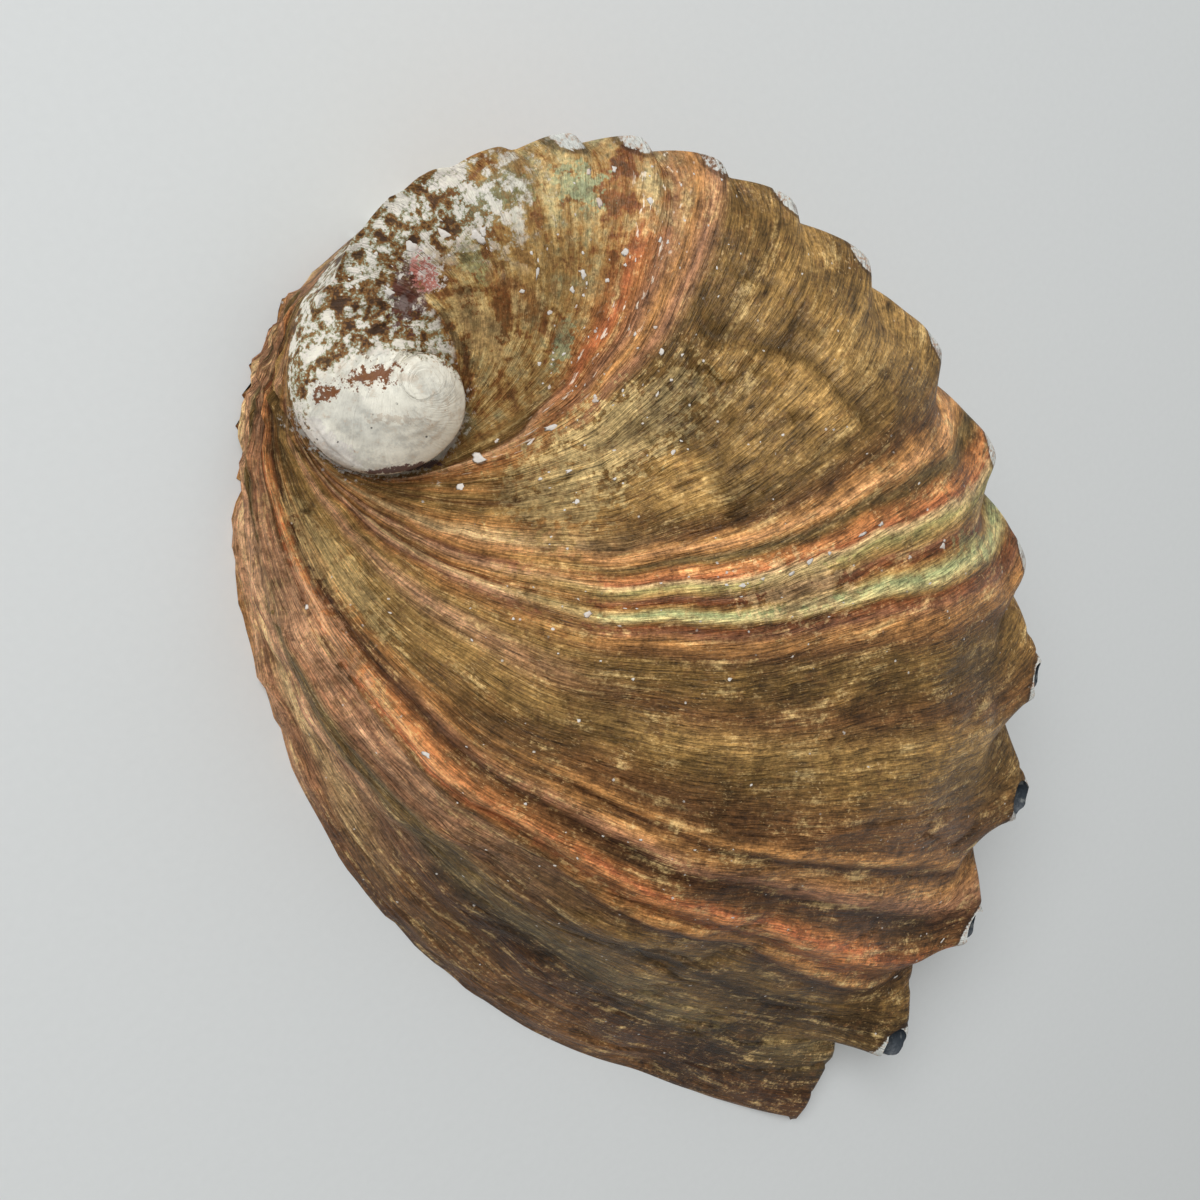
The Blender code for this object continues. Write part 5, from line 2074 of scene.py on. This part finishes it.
@dataclass
class LimeChips:
    """Small white lime chips that other growth has left on the back of the shell."""

    shell: ShellSkin
    chips: Sequence[Chip] = (
        Chip(-12.6, 2.0, 1.1), Chip(-110.0, 9.5, 1.2), Chip(-107.0, 14.0, 0.9, 1.6),
        Chip(-113.0, 18.0, 1.0), Chip(-135.0, 28.5, 3.4, 7.0), Chip(-104.8, 63.0, 2.2, 2.6),
        Chip(-104.4, 71.0, 1.6, 2.2), Chip(-106.0, 90.0, 2.2, 1.6), Chip(-112.5, 84.0, 1.2),
        Chip(-91.5, 92.0, 1.4), Chip(-103.5, 49.0, 0.9), Chip(-89.6, 61.0, 1.1, 1.8),
        Chip(-80.7, 60.0, 0.8), Chip(-90.0, 68.0, 0.7), Chip(-87.0, 66.0, 0.6),
        Chip(-58.3, 20.0, 1.3, 2.2), Chip(-58.1, 17.5, 0.9), Chip(-58.4, 26.5, 1.5, 2.4),
        Chip(-58.5, 35.5, 1.0, 2.0), Chip(-85.0, 44.0, 1.0), Chip(-83.8, 44.5, 0.8),
        Chip(-82.4, 40.0, 1.2, 2.0), Chip(-98.8, 31.0, 0.8), Chip(-94.0, 37.0, 0.9, 1.6),
        Chip(-57.8, 29.0, 0.9), Chip(-58.2, 24.0, 1.1, 1.8), Chip(-58.6, 33.0, 0.7),
        Chip(-55.2, 55.0, 1.5, 1.4), Chip(-52.6, 11.5, 1.3), Chip(-53.3, 15.0, 0.9),
        Chip(-46.0, 35.0, 0.8), Chip(-20.9, 60.0, 1.0), Chip(-22.2, 56.0, 1.6, 2.4),
        Chip(-21.4, 79.0, 0.8), Chip(-17.6, 3.0, 1.5, 1.3), Chip(-21.0, 5.0, 0.9, 2.0),
        Chip(-23.6, 4.0, 0.9), Chip(-150.0, 19.0, 2.0, 1.4), Chip(-147.5, 17.5, 1.7),
        Chip(-158.0, 16.0, 2.2, 1.8), Chip(-168.0, 14.0, 1.8), Chip(-179.0, 21.0, 2.2, 1.6),
        Chip(-190.0, 25.0, 2.0, 2.2), Chip(-119.0, 11.0, 1.6, 2.2), Chip(-121.0, 7.0, 1.3),
        Chip(-122.0, 26.0, 1.1), Chip(-124.5, 31.0, 1.0), Chip(-141.0, 37.0, 0.8),
        Chip(-130.0, 40.0, 0.8), Chip(-127.0, 57.0, 0.7), Chip(-116.0, 6.0, 1.0),
    )
    scatter: Sequence[tuple[float, float, float, float, int]] = (
        (-125, -96, 2, 60, 50), (-96, -66, 2, 70, 36), (-66, -50, 3, 70, 30), (-200, -130, 2, 24, 30),
        (-50, -28, 4, 90, 24), (-28, -17, 8, 60, 24), (-17, -2, 4, 60, 16),
    )
    strewn_length: tuple[float, float] = (0.25, 0.65)
    strewn_slender: tuple[float, float] = (1.0, 2.2)
    blank: Shares = (0.9, 0.9, 0.14)
    edge_waves: float = 3.4
    column_step: float = 0.01
    seed: int = 11

    def all_chips(self) -> list[Chip]:
        """The chips that have a place of their own and the small ones strewn between them.

        Returns:
            The chips.
        """
        dice = np.random.default_rng(self.seed)
        strewn = [
            Chip(
                dice.uniform(low, high), dice.uniform(start, end),
                dice.uniform(*self.strewn_length), dice.uniform(*self.strewn_slender),
            )
            for low, high, start, end, count in self.scatter
            for _ in range(count)
        ]
        return list(self.chips) + strewn

    def columns_of(self, leads: Array) -> Array:
        """Columns at which a growth line has these leads."""
        columns = np.linspace(0.0, 1.0, 1001)
        return np.interp(-leads, -self.shell.growth.lead_at(columns), columns)

    def build(self, coat: bpy.types.Material) -> bpy.types.Object:
        """Model one chip, copy it to every place and join the copies.

        Args:
            coat: material of the chips.

        Returns:
            The joined chips.
        """
        bpy.ops.object.select_all(action="DESELECT")
        bpy.ops.mesh.primitive_uv_sphere_add(segments=12, ring_count=4, radius=0.5)
        model = bpy.context.object
        bpy.ops.object.mode_set(mode="EDIT")
        bpy.ops.mesh.select_all(action="SELECT")
        bpy.ops.transform.resize(value=self.blank)
        bpy.ops.object.mode_set(mode="OBJECT")
        model.data.materials.append(coat)
        growth, step = self.shell.growth, self.column_step
        turn = np.array(growth.turn).T
        dice = np.random.default_rng(self.seed + 1)
        copies, chips = [], self.all_chips()
        stages = np.array([chip.stage for chip in chips])
        columns = self.columns_of(np.array([chip.lead for chip in chips]))
        points = self.shell.to_frame(self.shell.raised(stages, columns))
        ups = growth.normal(stages, columns) @ turn
        outer = growth.plain(stages, np.minimum(columns + step, 1.0))
        inner = growth.plain(stages, np.maximum(columns - step, 0.0))
        sides = unit(np.cross(ups, (outer - inner) @ turn))
        for number, (chip, point, up, side) in enumerate(zip(chips, points, ups, sides)):
            spin = Matrix.Rotation(dice.uniform(-0.6, 0.6), 3, "Z")
            basis = Matrix([Vector(np.cross(side, up)), Vector(side), Vector(up)]).transposed() @ spin
            shape = model.data.copy()
            corners = np.array([vertex.co for vertex in shape.vertices])
            waves = corners * self.edge_waves
            bulge = 0.85 + 0.55 * ripple(waves[:, 0] + number * 7.3, waves[:, 1], 81)
            width = chip.length / chip.slender
            corners = corners * bulge[:, None] * [chip.length, width, width]
            corners = (corners @ np.array(basis).T + point) * MM
            shape.vertices.foreach_set("co", corners.ravel())
            copies.append(linked(f"lime_chip_{number}", shape))
        bpy.data.objects.remove(model, do_unlink=True)
        select_only(copies[0])
        for copy in copies:
            copy.select_set(True)
        bpy.ops.object.join()
        joined = bpy.context.object
        joined.name = "lime_chips"
        bpy.ops.object.shade_smooth()
        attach(joined, BODY)
        return joined


# Floor, lights and camera


@dataclass(frozen=True)
class Studio:
    """Pale floor, soft light and the camera at the viewing angle of the picture.

    Attributes:
        camera_at: place of the camera in the frame, in millimetres.
        looks_at: place on the floor in the middle of the picture.
        picture_up: direction that points up in the picture.
        focal_length: focal length for the sensor's width.
        floor_size: length of the floor's side, in metres.
        floor_drop: millimetres that the floor lies under the rim.
        key_at: place of the main lamp, in metres.
        fill_at: place of the weaker lamp, in metres.
    """

    camera_at: tuple[float, float, float] = (-70.74, 72.54, 149.24)
    looks_at: tuple[float, float, float] = (-1.80, 15.72, 0.0)
    picture_up: tuple[float, float, float] = (0.4957, 0.8628, -0.0995)
    focal_length: float = 39.0
    sensor: float = 36.0
    floor_size: float = 4.0
    floor_drop: float = 0.05
    floor_colour: Colour = (0.745, 0.772, 0.775)
    sky_strength: float = 0.3
    sky_colour: Colour = (1.0, 0.99, 0.97)
    key_at: tuple[float, float, float] = (-0.25, 0.62, 0.62)
    key_size: float = 0.55
    key_power: float = 6.2
    fill_at: tuple[float, float, float] = (0.5, -0.2, 0.6)
    fill_size: float = 0.9
    fill_power: float = 0.6

    def floor(self) -> None:
        """Lay the floor just under the rim."""
        bpy.ops.mesh.primitive_plane_add(size=self.floor_size, location=(0.0, 0.0, -self.floor_drop * MM))
        floor = bpy.context.object
        floor.name = "floor"
        g = Graph("floor")
        weave = g.noise(g.place(), 0.9, 2.0)
        shades = [tuple(part * shade for part in self.floor_colour) for shade in (0.98, 1.02)]
        colour = g.mix(shades[0], shades[1], weave)
        floor.data.materials.append(g.surface({"Base Color": colour, "Roughness": 0.9}))

    def lamp(self, name: str, at: tuple[float, float, float], size: float, power: float) -> None:
        """Hang one square soft light that faces the shell.

        Args:
            name: its name.
            at: its place, in metres.
            size: length of its side, in metres.
            power: its power in watts.
        """
        light = bpy.data.lights.new(name, "AREA")
        light.shape = "SQUARE"
        light.size = size
        light.energy = power
        lamp = linked(name, light)
        lamp.location = at
        lamp.rotation_euler = (-Vector(at)).to_track_quat("-Z", "Y").to_euler()

    def sky(self) -> None:
        """Fill the room with even light."""
        world = bpy.data.worlds.new("sky")
        world.use_nodes = True
        back = world.node_tree.nodes["Background"]
        back.inputs["Color"].default_value = (*self.sky_colour, 1.0)
        back.inputs["Strength"].default_value = self.sky_strength
        bpy.context.scene.world = world
        bpy.context.scene.view_settings.view_transform = "Standard"

    def camera(self) -> None:
        """Set up the camera."""
        lens = bpy.data.cameras.new("camera")
        lens.sensor_fit = "HORIZONTAL"
        lens.sensor_width = self.sensor
        lens.lens = self.focal_length
        lens.clip_start = 0.01
        camera = linked("camera", lens)
        at, target = Vector(self.camera_at) * MM, Vector(self.looks_at) * MM
        behind = (at - target).normalized()
        right = Vector(self.picture_up).cross(behind).normalized()
        up = behind.cross(right)
        camera.matrix_world = Matrix.Translation(at) @ Matrix([right, up, behind]).transposed().to_4x4()
        bpy.context.scene.camera = camera

    def build(self) -> None:
        """Set up floor, lights and camera."""
        self.floor()
        self.lamp("window", self.key_at, self.key_size, self.key_power)
        self.lamp("fill", self.fill_at, self.fill_size, self.fill_power)
        self.sky()
        self.camera()


def main() -> None:
    """Build the shell, its chips and the studio."""
    logging.basicConfig(level=logging.INFO, format="%(message)s")
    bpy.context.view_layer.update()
    growth = Growth()
    bands = Bands()
    skin = ShellSkin(growth, Relief(growth, bands), bands)
    shell = skin.build([HornCoat().make(), NacreCoat().make(), SpoutCoat().make()])
    LOG.info("shell woven, %d faces", len(shell.data.polygons))
    skin.drill(shell)
    LOG.info("breathing holes drilled, %d faces", len(shell.data.polygons))
    skin.finish(shell)
    chips = LimeChips(skin).build(LimeCoat().make())
    LOG.info("lime chips set, %d faces", len(chips.data.polygons))
    Studio().build()
    LOG.info("studio lit")


if __name__ == "__main__":
    main()
